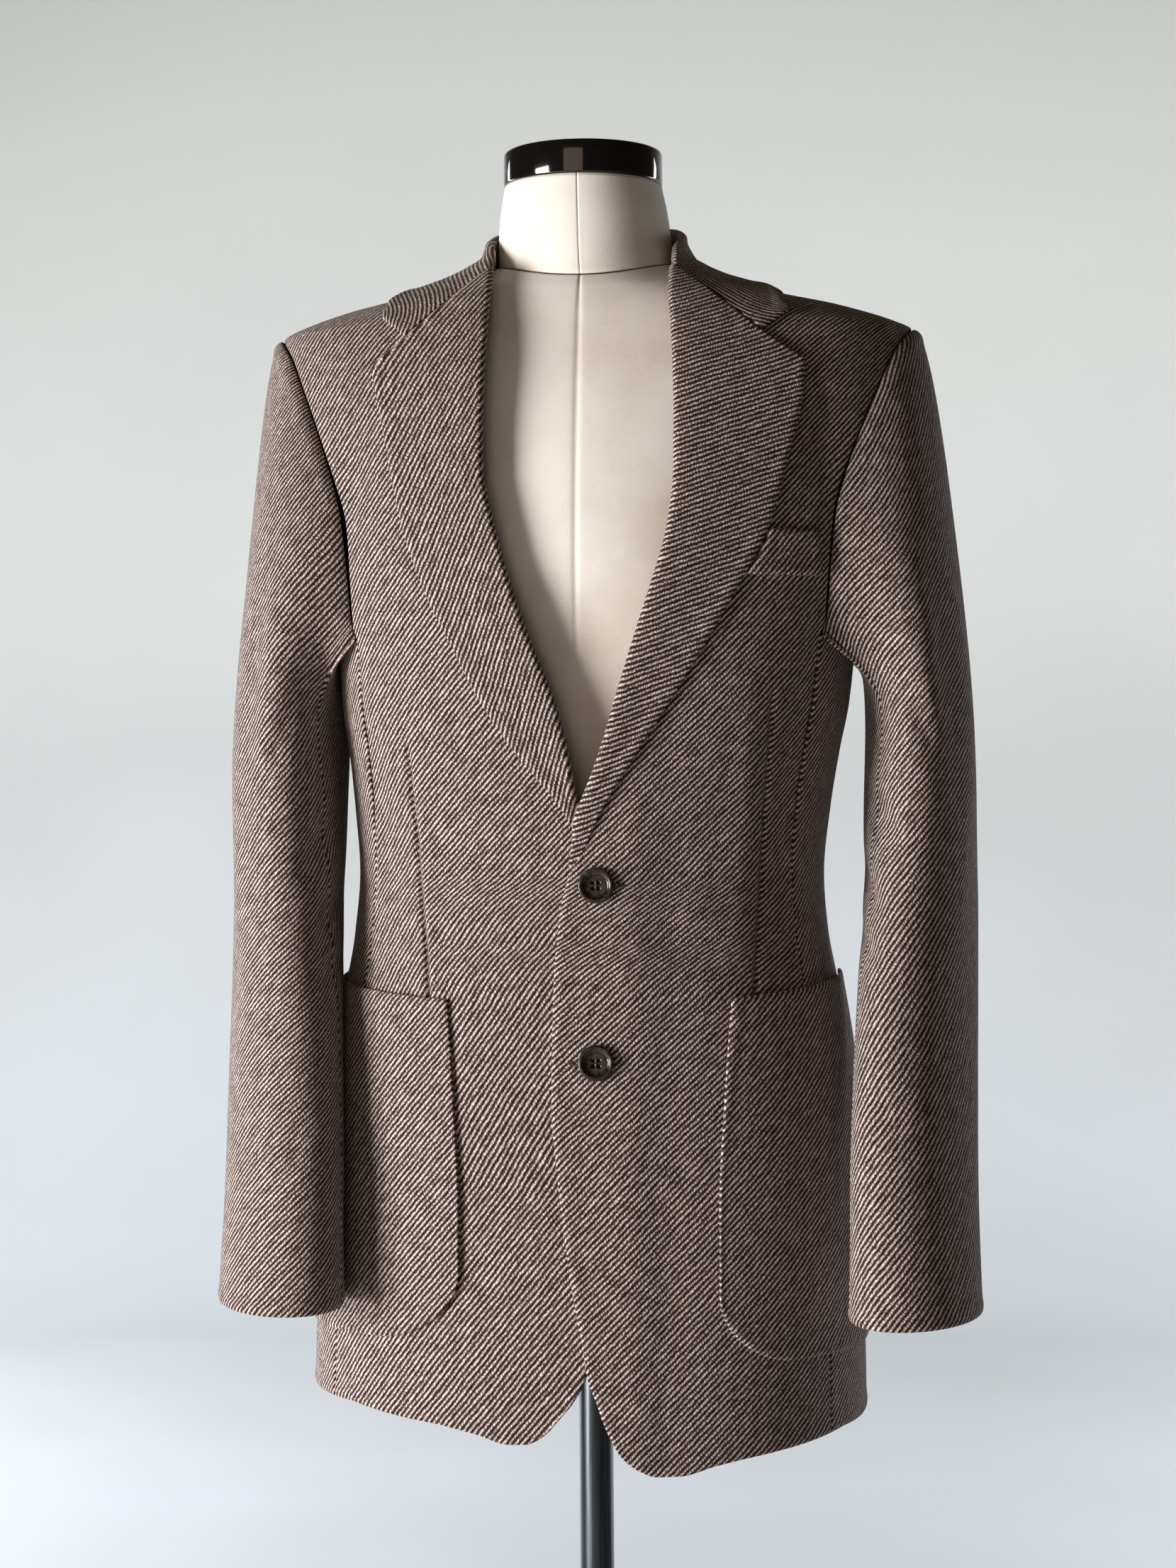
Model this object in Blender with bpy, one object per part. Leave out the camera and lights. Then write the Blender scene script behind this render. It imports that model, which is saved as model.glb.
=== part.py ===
"""A tweed sports jacket on a limbless dress form.

Metres, +Z up, the jacket's front faces -Y and the wearer's left is +X.
The origin is the centre of the base's underside, on the floor.
"""

import math

import bpy
import numpy as np

# Cloth and seams
CLOTH = 0.0024
SEAM_GAP = 0.0003
LAY_GAP = 0.0007
COLLAR_GAP = 0.0011
LAPEL_GAP = 0.0011
ROLL_GAP = 0.0011
ROLL_RADIUS = 0.0027

# Heights and hem
ARMPIT = 1.212
UNDERARM_DIP = 0.008
HEM = 0.7275
HEM_TILT = 0.0095
NECK_SEAM = 1.4595
NECK_X = 0.0660
SHOULDER_TIP = 1.411
FRONT_SEAM_ANGLE = 58.0
BACK_SEAM_ANGLE = 118.0

# Lap of the wearer's left front over the right one: where it ends across and where it ends up
LAP_ACROSS = (0.030, 0.062)
LAP_UP = (1.115, 1.185)

# Buttons: centres across and up the front, then sizes
BUTTON_X = 0.0125
BUTTON_HEIGHTS = (1.058, 0.950)
BUTTON_RADIUS = 0.0110
BUTTON_THICKNESS = 0.0036
CUFF_BUTTON_RADIUS = 0.0073
CUFF_BUTTON_THICKNESS = 0.0030
CUFF_BUTTON_UP = (0.045, 0.066)
BUTTON_GAP = 0.0005
BUTTON_AROUND = 16

# Dress form stand
CAP_RADIUS = 0.0518
CAP_HEIGHTS = (1.5093, 1.531)
CAP_BEVEL = 0.002
CAP_X = -0.0020
POLE_RADIUS = 0.011
FORM_BOTTOM = 0.800
BASE_RADIUS = 0.210
BASE_THICKNESS = 0.012
BASE_BEVEL = 0.003

# Horizontal sections of the jacket's outer face: height, half width, depth in front of the
# side line, depth behind it, share by which the wearer's left side is wider than the right
BODY_SECTIONS = (
    (0.690, 0.1790, 0.1490, 0.1370, -0.016),
    (0.760, 0.1780, 0.1470, 0.1350, -0.014),
    (0.820, 0.1765, 0.1440, 0.1320, -0.008),
    (0.882, 0.1735, 0.1400, 0.1280, 0.000),
    (0.920, 0.1700, 0.1370, 0.1240, 0.000),
    (0.955, 0.1655, 0.1340, 0.1190, 0.000),
    (0.990, 0.1598, 0.1310, 0.1140, 0.000),
    (1.025, 0.1535, 0.1280, 0.1100, 0.000),
    (1.063, 0.1505, 0.1260, 0.1080, 0.004),
    (1.104, 0.1540, 0.1270, 0.1090, 0.010),
    (1.141, 0.1590, 0.1285, 0.1120, 0.018),
    (1.170, 0.1640, 0.1290, 0.1150, 0.024),
    (1.212, 0.1680, 0.1290, 0.1180, 0.030),
    (1.250, 0.1770, 0.1260, 0.1175, 0.030),
    (1.300, 0.1900, 0.1190, 0.1140, 0.030),
    (1.350, 0.2020, 0.1080, 0.1060, 0.030),
    (1.380, 0.2070, 0.0990, 0.0980, 0.030),
    (1.400, 0.2075, 0.0900, 0.0900, 0.030),
    (1.411, 0.2045, 0.0840, 0.0850, 0.030),
    (1.4145, 0.1980, 0.0820, 0.0835, 0.029),
    (1.4255, 0.1650, 0.0760, 0.0785, 0.024),
    (1.4325, 0.1340, 0.0715, 0.0750, 0.016),
    (1.4395, 0.1080, 0.0675, 0.0720, 0.006),
    (1.4445, 0.0930, 0.0645, 0.0700, 0.000),
    (1.4515, 0.0780, 0.0610, 0.0680, 0.000),
    (1.4595, 0.0660, 0.0590, 0.0670, 0.000),
    (1.4700, 0.0625, 0.0580, 0.0665, 0.000),
    (1.5000, 0.0600, 0.0560, 0.0660, 0.000),
)
SQUARENESS = 2.4

# Inner edge of the two fronts: height, x on the wearer's left front, x on the right front
FRONT_EDGES = (
    (0.7142, 0.0255, -0.0250),
    (0.7240, 0.0203, -0.0200),
    (0.7335, 0.0160, -0.0125),
    (0.7460, 0.0117, -0.0020),
    (0.7600, 0.0065, 0.0055),
    (0.7785, 0.0037, 0.0093),
    (0.8152, -0.0029, 0.0159),
    (0.8552, -0.0084, 0.0214),
    (0.8883, -0.0121, 0.0251),
    (0.9215, -0.0149, 0.0275),
    (0.9551, -0.0145, 0.0275),
    (0.9946, -0.0136, 0.0266),
    (1.0419, -0.0095, 0.0225),
    (1.0683, -0.0032, 0.0162),
    (1.0954, 0.0020, 0.0080),
    (1.1120, 0.0095, -0.0008),
    (1.1357, 0.0185, -0.0065),
    (1.1666, 0.0280, -0.0150),
    (1.2055, 0.0400, -0.0300),
    (1.2398, 0.0510, -0.0420),
    (1.2734, 0.0605, -0.0515),
    (1.3110, 0.0650, -0.0595),
    (1.3430, 0.0652, -0.0605),
    (1.3830, 0.0640, -0.0600),
    (1.4446, 0.0600, -0.0585),
    (1.4595, 0.0660, -0.0660),
)

# Outer edge of the lapels: height, |x| on the wearer's left, |x| on the right
LAPEL_EDGES = (
    (1.0985, 0.0130, 0.0045),
    (1.1120, 0.0208, 0.0135),
    (1.1357, 0.0360, 0.0335),
    (1.1760, 0.0620, 0.0605),
    (1.2000, 0.0765, 0.0725),
    (1.2364, 0.0975, 0.0910),
    (1.2797, 0.1195, 0.1070),
    (1.3260, 0.1320, 0.1175),
    (1.3560, 0.1395, 0.1235),
    (1.3825, 0.1418, 0.1295),
)
LAPEL_FOOT = (1.1030, 1.1145)
LAPEL_HEEL = (1.1000, 1.1020)
LAPEL_TIP = 1.3825
GORGE_TOP = 1.4446
NOTCH = (0.1120, 1.4008)
NOTCH_SHARE = 0.70
NOTCH_LEAN = 0.03
GORGE_GAP = 0.0010

# Armhole edge: height, |x| on the front, |x| on the back
ARMHOLE = (
    (1.212, 0.1490, 0.1515),
    (1.250, 0.1515, 0.1610),
    (1.289, 0.1555, 0.1685),
    (1.311, 0.1610, 0.1720),
    (1.343, 0.1720, 0.1800),
    (1.371, 0.1830, 0.1885),
    (1.395, 0.1935, 0.1960),
    (1.411, 0.2045, 0.2045),
)

# Drop of the front hem below the side hem: distance from the line where the fronts part, drop
HEM_DROP = (
    (0.013, 0.0000),
    (0.019, 0.0035),
    (0.025, 0.0085),
    (0.032, 0.0128),
    (0.045, 0.0170),
    (0.060, 0.0172),
    (0.085, 0.0120),
    (0.110, 0.0080),
    (0.135, 0.0040),
    (0.155, 0.0000),
)
PARTING_X = 0.0065

# Fold line of the collar from the centre back to the front: place along, |x|, y, height
COLLAR_FOLD = (
    (0.00, 0.0000, 0.0690, 1.4915),
    (0.25, 0.0345, 0.0600, 1.4890),
    (0.45, 0.0570, 0.0350, 1.4835),
    (0.62, 0.0618, 0.0040, 1.4745),
    (0.80, 0.0605, -0.0270, 1.4635),
)
# Its outer edge: place along, angle round from the centre front, height
COLLAR_EDGE = (
    (0.00, 180.0, 1.4400),
    (0.25, 158.0, 1.4395),
    (0.45, 134.0, 1.4392),
    (0.62, 112.0, 1.4400),
    (0.80, 90.0, 1.4392),
    (1.00, 57.0, 1.4310),
    (1.15, 42.0, 1.4225),
    (1.30, 36.0, 1.4140),
)
# Foot of the stand on the neckline: place along, |x|, y, height
STAND_FOOT = (
    (0.00, 0.0000, 0.0668, 1.4605),
    (0.25, 0.0355, 0.0585, 1.4605),
    (0.45, 0.0590, 0.0345, 1.4605),
    (0.62, 0.0640, 0.0030, 1.4605),
    (0.80, 0.0627, -0.0285, 1.4590),
)
STAND_CLOTH = 0.0020
STAND_GAP = 0.0004

# Sleeve rings below the armpit: height, |x| of the centre, y of the centre, half width,
# half depth, turn of the long axis towards the body in front (degrees)
SLEEVE_RINGS = (
    (1.165, 0.2045, -0.006, 0.0355, 0.0800, 0.0),
    (1.104, 0.2040, -0.014, 0.0360, 0.0740, 4.0),
    (1.050, 0.2035, -0.028, 0.0355, 0.0690, 10.0),
    (0.993, 0.2010, -0.051, 0.0350, 0.0640, 17.0),
    (0.938, 0.1985, -0.074, 0.0345, 0.0590, 23.0),
    (0.864, 0.1965, -0.096, 0.0350, 0.0550, 27.0),
    (0.797, 0.1965, -0.108, 0.0375, 0.0520, 28.0),
)
SLEEVE_SHIFT = 0.009
SLEEVE_CLEAR_BODY = 0.0008
SLEEVE_CLEAR_POCKET = 0.0056
POCKET_REACH = (0.990, 1.030)
SLEEVE_SEAM_GAP = 0.0008
# Head of the sleeve: how far the cloth stands out at the armhole seam (all round, more in front
# and behind), then how high and how far in it arrives above the first ring (all round, outside)
HEAD_STAND = (0.010, 0.012)
HEAD_RISE = (0.020, 0.175)
HEAD_LEAN = 0.019
CUFF_SLOPE = 0.05
CUFF_DROP = 0.0035
TOP_SLEEVE_SHARE = (0.38, 0.36)

# Patch pockets: rows from the bottom to the top, |x| of the front edge from the mid line
POCKET_MID = 0.007
POCKET_FRONT = ((0.770, 0.0790), (0.860, 0.0790), (0.930, 0.0825), (1.000, 0.0875))
POCKET_BACK_ANGLE = (97.0, 93.0)
POCKET_TOP = (0.9880, 0.9985)
POCKET_BOTTOM = {1: 0.7660, -1: 0.7805}
POCKET_WIDTH = 0.150
POCKET_CORNER = 0.041
POCKET_CLOTH = 0.0024
POCKET_FULLNESS = 0.0010

# Welt of the breast pocket: lower and upper height, outer |x|, gap beside the lapel
WELT_HEIGHTS = (1.2480, 1.2765)
WELT_OUTER = 0.1500
WELT_BESIDE_LAPEL = 0.0012
WELT_CLOTH = 0.0018

# Sections of the dress form: height in front, at the side, at the back, half width, front
# depth, back depth
FORM_SECTIONS = (
    (0.8000, 0.8000, 0.8000, 0.1450, 0.1120, 0.1070),
    (0.8600, 0.8600, 0.8600, 0.1520, 0.1170, 0.1130),
    (0.9300, 0.9300, 0.9300, 0.1500, 0.1130, 0.1080),
    (1.0000, 1.0000, 1.0000, 0.1420, 0.1060, 0.0990),
    (1.0600, 1.0600, 1.0600, 0.1370, 0.1010, 0.0940),
    (1.1200, 1.1200, 1.1200, 0.1400, 0.1050, 0.0970),
    (1.1800, 1.1800, 1.1800, 0.1465, 0.1120, 0.1020),
    (1.2450, 1.2450, 1.2450, 0.1500, 0.1130, 0.1040),
    (1.3050, 1.3050, 1.3050, 0.1540, 0.1060, 0.1010),
    (1.3450, 1.3500, 1.3500, 0.1600, 0.0965, 0.0940),
    (1.3700, 1.3820, 1.3820, 0.1640, 0.0885, 0.0850),
    (1.3920, 1.4050, 1.4040, 0.1590, 0.0805, 0.0785),
    (1.4080, 1.4190, 1.4180, 0.1470, 0.0745, 0.0730),
    (1.4210, 1.4296, 1.4296, 0.1300, 0.0695, 0.0675),
    (1.4310, 1.4364, 1.4374, 0.1080, 0.0650, 0.0635),
    (1.4370, 1.4420, 1.4444, 0.0905, 0.0620, 0.0610),
    (1.4405, 1.4480, 1.4510, 0.0740, 0.0598, 0.0600),
    (1.4430, 1.4555, 1.4580, 0.0590, 0.0582, 0.0590),
)
FORM_SQUARENESS = 2.2
# Neck of the form: height in front, at the side, at the back, radius, centre across
NECK_SECTIONS = (
    (1.4436, 1.4561, 1.4586, 0.0576, 0.0000),
    (1.4640, 1.4700, 1.4740, 0.0565, -0.0010),
    (1.4860, 1.4870, 1.4880, 0.0550, -0.0015),
    (1.5090, 1.5090, 1.5090, 0.0512, -0.0020),
)

# Grid counts
PANEL_ACROSS = (0.0, 0.04, 0.09, 0.16, 0.25, 0.35, 0.46, 0.58, 0.70, 0.80, 0.90, 1.0)
BACK_ACROSS = (0.0, 0.12, 0.24, 0.36, 0.48, 0.60, 0.72, 0.82, 0.91, 1.0)
SIDE_ACROSS = (0.0, 0.17, 0.33, 0.50, 0.67, 0.83, 1.0)
PANEL_UP = (0.0, 0.02, 0.05, 0.09, 0.15, 0.22, 0.30, 0.38, 0.46,
            0.54, 0.62, 0.70, 0.76, 0.80, 0.85, 0.92, 1.0)
YOKE_DOWN = (0.78, 0.58, 0.40, 0.26, 0.16, 0.09, 0.045, 0.018, 0.004, 0.0)
LAPEL_UP = (0.0, 0.05, 0.12, 0.22, 0.34, 0.47, 0.60, 0.73, 0.85, 0.94, 1.0)
LAPEL_ACROSS = (0.06, 0.18, 0.34, 0.52, 0.70, 0.86, 1.0)
ROLL_STEPS = 4
COLLAR_STATIONS = (0.0, 0.12, 0.24, 0.35, 0.45, 0.54, 0.62, 0.71, 0.80, 0.90, 1.0, 1.1, 1.2, 1.3)
COLLAR_ACROSS = (0.0, 0.2, 0.4, 0.6, 0.8, 1.0)
STAND_STATIONS = (0.0, 0.12, 0.24, 0.35, 0.45, 0.54, 0.62, 0.71, 0.80)
SLEEVE_CAP_STEPS = (0.0, 0.10, 0.20, 0.32, 0.46, 0.62, 0.80, 1.0)
SLEEVE_DOWN = (1.130, 1.095, 1.060, 1.025, 0.985, 0.940, 0.895, 0.845, 0.797)
POCKET_ACROSS = (0.0, 0.01, 0.04, 0.10, 0.18, 0.26, 0.34, 0.42, 0.5,
                 0.58, 0.66, 0.74, 0.82, 0.90, 0.96, 0.99, 1.0)
POCKET_UP = (0.0, 0.08, 0.2, 0.35, 0.5, 0.65, 0.8, 0.92, 1.0)
FORM_AROUND = 32
NECK_AROUND = 32
DISC_AROUND = 40
POLE_AROUND = 24
BASE_AROUND = 48


# --- interpolation and grids

def column(table, index):
    """One column of a table of rows as an array."""
    return np.array([row[index] for row in table], dtype=float)


def smooth(table, index, at):
    """A column interpolated at the first column's values, smooth and without overshoot."""
    keys = column(table, 0)
    values = column(table, index)
    at = np.clip(np.asarray(at, dtype=float), keys[0], keys[-1])
    step = np.diff(keys)
    slope = np.diff(values) / step
    tangent = np.empty_like(values)
    tangent[0] = slope[0]
    tangent[-1] = slope[-1]
    same_way = slope[:-1] * slope[1:] > 0
    mean = 2 * slope[:-1] * slope[1:] / np.where(same_way, slope[:-1] + slope[1:], 1)
    tangent[1:-1] = np.where(same_way, mean, 0)
    place = np.clip(np.searchsorted(keys, at, side="right") - 1, 0, len(keys) - 2)
    share = (at - keys[place]) / step[place]
    rest = 1 - share
    return (values[place] * rest * rest * (1 + 2 * share)
            + values[place + 1] * share * share * (3 - 2 * share)
            + step[place] * share * rest * (tangent[place] * rest - tangent[place + 1] * share))


def fade(value, low, high):
    """0 below low, 1 above high and a soft step between them."""
    share = np.clip((value - low) / (high - low), 0, 1)
    return share * share * (3 - 2 * share)


def unit(vectors):
    """Vectors at length one."""
    return vectors / np.maximum(np.linalg.norm(vectors, axis=-1, keepdims=True), 1e-12)


def grid_normals(grid, wraps=False):
    """Normals of a grid of points, from the way its rows and columns run."""
    if wraps:
        along = np.roll(grid, -1, axis=1) - np.roll(grid, 1, axis=1)
    else:
        along = np.gradient(grid, axis=1)
    up = np.gradient(grid, axis=0)
    return unit(np.cross(along, up))


def inset(grid, first_column=0.0, last_column=0.0, first_row=0.0, last_row=0.0):
    """A grid with its borders drawn in along its own surface by the given distances."""
    grid = grid.copy()
    grid[:, 0] += first_column * unit(grid[:, 1] - grid[:, 0])
    grid[:, -1] += last_column * unit(grid[:, -2] - grid[:, -1])
    grid[0] += first_row * unit(grid[1] - grid[0])
    grid[-1] += last_row * unit(grid[-2] - grid[-1])
    return grid


# --- the jacket's outer face

def body_size(height, side):
    """Half width, front depth and back depth at a height on one side (+1 is wearer's left)."""
    lean = smooth(BODY_SECTIONS, 4, height)
    half_width = smooth(BODY_SECTIONS, 1, height) * (1 + lean * side)
    return half_width, smooth(BODY_SECTIONS, 2, height), smooth(BODY_SECTIONS, 3, height)


def body_point(angle, height):
    """Point on the outer face: angle in radians from the centre front, + to the wearer's left."""
    angle = np.asarray(angle, dtype=float)
    half_width, front, back = body_size(height, np.sign(angle))
    power = 2 / SQUARENESS
    across = np.sin(angle)
    deep = np.cos(angle)
    x = half_width * np.sign(across) * np.abs(across) ** power
    y = -np.where(deep > 0, front, back) * np.sign(deep) * np.abs(deep) ** power
    return np.stack(np.broadcast_arrays(x, y, height), axis=-1)


def body_angle(x, height):
    """Angle on the front half at which the outer face has a given x."""
    half_width = body_size(height, np.sign(x))[0]
    share = np.clip(np.abs(x) / half_width, 0, 0.99999)
    return np.sign(x) * np.arcsin(share ** (SQUARENESS / 2))


def body_field(points):
    """Signed distance, roughly, from the jacket's outer face; negative inside."""
    half_width, front, back = body_size(points[..., 2], np.sign(points[..., 0]))
    depth = np.where(points[..., 1] < 0, front, back)
    value = (np.abs(points[..., 0]) / half_width) ** SQUARENESS
    value = value + (np.abs(points[..., 1]) / depth) ** SQUARENESS
    return value ** (1 / SQUARENESS) - 1


def field_gradient(points):
    """Gradient of body_field by small steps."""
    step = 1e-5
    parts = []
    for axis in range(3):
        move = np.zeros(3)
        move[axis] = step
        parts.append((body_field(points + move) - body_field(points - move)) / (2 * step))
    return np.stack(parts, axis=-1)


def rest_on_body(points, lift):
    """Points pushed out of the body until they stand at least lift above its face."""
    for _ in range(4):
        gradient = field_gradient(points)
        steep = np.maximum(np.linalg.norm(gradient, axis=-1), 1e-6)
        missing = np.maximum(lift - body_field(points) / steep, 0)
        points = points + (missing / steep)[..., None] * gradient
    return points


def ridge_height(x, side):
    """Height of the shoulder line at |x|."""
    heights = np.linspace(SHOULDER_TIP, NECK_SEAM, 200)
    widths = body_size(heights, side)[0]
    return np.interp(np.abs(x), widths[::-1], heights[::-1])


def front_lift(side, x, height):
    """How far the wearer's left front stands out where it laps over the right one."""
    if side < 0:
        return np.zeros_like(x)
    lap = 1 - fade(x, *LAP_ACROSS)
    return (CLOTH + LAY_GAP) * lap * (1 - fade(height, *LAP_UP))


def hem_height(angle):
    """Height of the hem at an angle round the body; the wearer's left side hangs lower."""
    in_front = np.abs(angle) < math.pi / 2
    x = body_point(angle, HEM + 0 * angle)[..., 0]
    drop = np.where(in_front, smooth(HEM_DROP, 1, np.abs(x - PARTING_X)), 0)
    return HEM - HEM_TILT * np.where(in_front, np.sign(angle), np.sin(angle)) - drop


# --- meshes and materials

def make_material(name, colour, roughness, metallic=0.0):
    """A Principled material."""
    material = bpy.data.materials.new(name)
    material.use_nodes = True
    shader = material.node_tree.nodes["Principled BSDF"]
    shader.inputs["Base Color"].default_value = (*colour, 1.0)
    shader.inputs["Roughness"].default_value = roughness
    shader.inputs["Metallic"].default_value = metallic
    return material


def make_object(name, points, faces, material):
    """An object from points and faces, shaded smooth up to 40 degrees."""
    mesh = bpy.data.meshes.new(name)
    mesh.from_pydata([tuple(point) for point in points], [], faces)
    mesh.update()
    mesh.shade_smooth()
    mesh.set_sharp_from_angle(angle=math.radians(40))
    mesh.materials.append(material)
    made = bpy.data.objects.new(name, mesh)
    bpy.context.collection.objects.link(made)
    return made


def make_wall(name, outer, inner, material, flip=False):
    """A closed wall between two grids of the same size, with faces round its four edges."""
    rows, columns = outer.shape[:2]
    points = np.concatenate([outer.reshape(-1, 3), inner.reshape(-1, 3)])
    count = rows * columns
    faces = []
    for row in range(rows - 1):
        for col in range(columns - 1):
            a = row * columns + col
            b = a + 1
            c = a + columns + 1
            d = a + columns
            faces.append((a, b, c, d))
            faces.append((count + d, count + c, count + b, count + a))
    border = [col for col in range(columns)]
    border += [row * columns + columns - 1 for row in range(1, rows)]
    border += [(rows - 1) * columns + col for col in range(columns - 2, -1, -1)]
    border += [row * columns for row in range(rows - 2, 0, -1)]
    for start, end in zip(border, border[1:] + border[:1]):
        faces.append((start, count + start, count + end, end))
    if flip:
        faces = [face[::-1] for face in faces]
    return make_object(name, points, faces, material)


def make_lathe(name, rings, material):
    """A solid from rings of points, closed by a fan of faces at each end."""
    rows, around = rings.shape[:2]
    points = np.concatenate([rings.reshape(-1, 3), rings[:1].mean(axis=1), rings[-1:].mean(axis=1)])
    low = rows * around
    last = (rows - 1) * around
    faces = []
    for col in range(around):
        after = (col + 1) % around
        faces.append((low, after, col))
        faces.append((low + 1, last + col, last + after))
        for row in range(rows - 1):
            faces.append((row * around + col, row * around + after,
                          (row + 1) * around + after, (row + 1) * around + col))
    return make_object(name, points, faces, material)


def turned_rings(profile, around):
    """Rings of a turned shape from its (radius, height) profile, bottom to top."""
    angles = np.linspace(0, 2 * math.pi, around, endpoint=False)
    radius = column(profile, 0)[:, None]
    height = column(profile, 1)[:, None] + 0 * angles
    return np.stack([radius * np.cos(angles), radius * np.sin(angles), height], axis=-1)


# --- body panels

def panel_grid(inner_angle, outer_angle, across, foot, top):
    """Rows of points below the armpit, from the hem up, between two edges given by height."""
    across = np.array(across)
    up = np.array(PANEL_UP)[:, None]
    edge_low = foot[0]
    edge_high = foot[1]
    inner = inner_angle(edge_low + (top[0] - edge_low) * up)
    outer = outer_angle(edge_high + (top[-1] - edge_high) * up)
    angle = inner + (outer - inner) * across
    low = hem_height(angle[0])
    height = low + (top - low) * up
    return angle, height


def front_outer_angle(side):
    """Angle of the seam between the front and the side."""
    return lambda height: side * np.radians(FRONT_SEAM_ANGLE) + 0 * height


def yoke_grid(side, inner_x, outer_x, across, front):
    """Angles and heights above the armpit, up to the shoulder line."""
    across = np.array(across)
    down = np.array(YOKE_DOWN)[:, None]
    neck_x = inner_x(NECK_SEAM) if front else NECK_X
    tip = body_size(SHOULDER_TIP, side)[0]
    top_x = inner_x(NECK_SEAM) + (tip - inner_x(NECK_SEAM)) * across
    top = np.where(top_x < neck_x, NECK_SEAM, ridge_height(np.maximum(top_x, neck_x), side))
    height = top - (top - ARMPIT) * down
    low = inner_x(height[:, :1])
    high = outer_x(height[:, -1:]) * (1 + smooth(BODY_SECTIONS, 4, height[:, -1:]) * side)
    x = low + (high - low) * across
    angle = body_angle(x * side, height) * side
    angle = np.minimum(angle, math.pi / 2 - 0.0012)
    if not front:
        angle = math.pi - angle
    return angle * side, height


def front_panel(side):
    """The outer face of one front: the hem row first, the shoulder row last."""
    which = 1 if side > 0 else 2

    def inner_angle(height):
        return body_angle(smooth(FRONT_EDGES, which, height), height)

    def inner_x(height):
        return side * smooth(FRONT_EDGES, which, height)

    def outer_x(height):
        return smooth(ARMHOLE, 1, height)

    seam = side * math.radians(FRONT_SEAM_ANGLE)
    corner = 0.7142 if side > 0 else 0.7335
    foot = (corner, hem_height(np.array(seam)))
    top = np.full(len(PANEL_ACROSS), ARMPIT)
    angle, height = panel_grid(inner_angle, front_outer_angle(side), PANEL_ACROSS, foot, top)
    high_angle, high_height = yoke_grid(side, inner_x, outer_x, PANEL_ACROSS, True)
    angle = np.concatenate([angle, high_angle])
    height = np.concatenate([height, high_height])
    grid = body_point(angle, height)
    lift = front_lift(side, grid[..., 0], grid[..., 2])
    return grid + lift[..., None] * side * grid_normals(grid)


def back_panel(side):
    """The outer face of one back, from the centre back seam to the side."""
    def centre_angle(height):
        return side * math.pi + 0 * height

    def seam_angle(height):
        return side * math.radians(BACK_SEAM_ANGLE) + 0 * height

    def centre_x(height):
        return 0 * height

    def outer_x(height):
        return smooth(ARMHOLE, 2, height)

    foot = (HEM, hem_height(np.array(side * math.radians(BACK_SEAM_ANGLE))))
    top = np.full(len(BACK_ACROSS), ARMPIT)
    angle, height = panel_grid(centre_angle, seam_angle, BACK_ACROSS, foot, top)
    high_angle, high_height = yoke_grid(side, centre_x, outer_x, BACK_ACROSS, False)
    angle = np.concatenate([angle, high_angle])
    height = np.concatenate([height, high_height])
    return body_point(angle, height)


def side_panel(side):
    """The outer face of the panel under the arm, from the front seam to the back seam."""
    across = np.array(SIDE_ACROSS)
    turn = FRONT_SEAM_ANGLE + (BACK_SEAM_ANGLE - FRONT_SEAM_ANGLE) * across
    angle = side * np.radians(turn)
    top = ARMPIT - UNDERARM_DIP * np.sin(math.pi * across)
    low = hem_height(angle)
    height = low + (top - low) * np.array(PANEL_UP)[:, None]
    return body_point(angle + 0 * height, height)


def add_panel(name, grid, side_sign, material, seams):
    """A wall hanging inwards from an outer face, drawn in at its seams."""
    grid = inset(grid, **seams)
    normals = unit(field_gradient(grid))
    make_wall(name, grid, grid - CLOTH * normals, material, flip=side_sign < 0)


def build_body(tweed):
    """Fronts, sides and backs."""
    half = SEAM_GAP / 2
    for side, word in ((1, "left"), (-1, "right")):
        add_panel("front_" + word, front_panel(side), side, tweed,
                  {"last_column": half, "last_row": half})
        add_panel("side_" + word, side_panel(side), side, tweed,
                  {"first_column": half, "last_column": half, "last_row": half})
        add_panel("back_" + word, back_panel(side), -side, tweed,
                  {"first_column": half, "last_column": half, "last_row": half})


# --- lapels, collar and pockets

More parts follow.
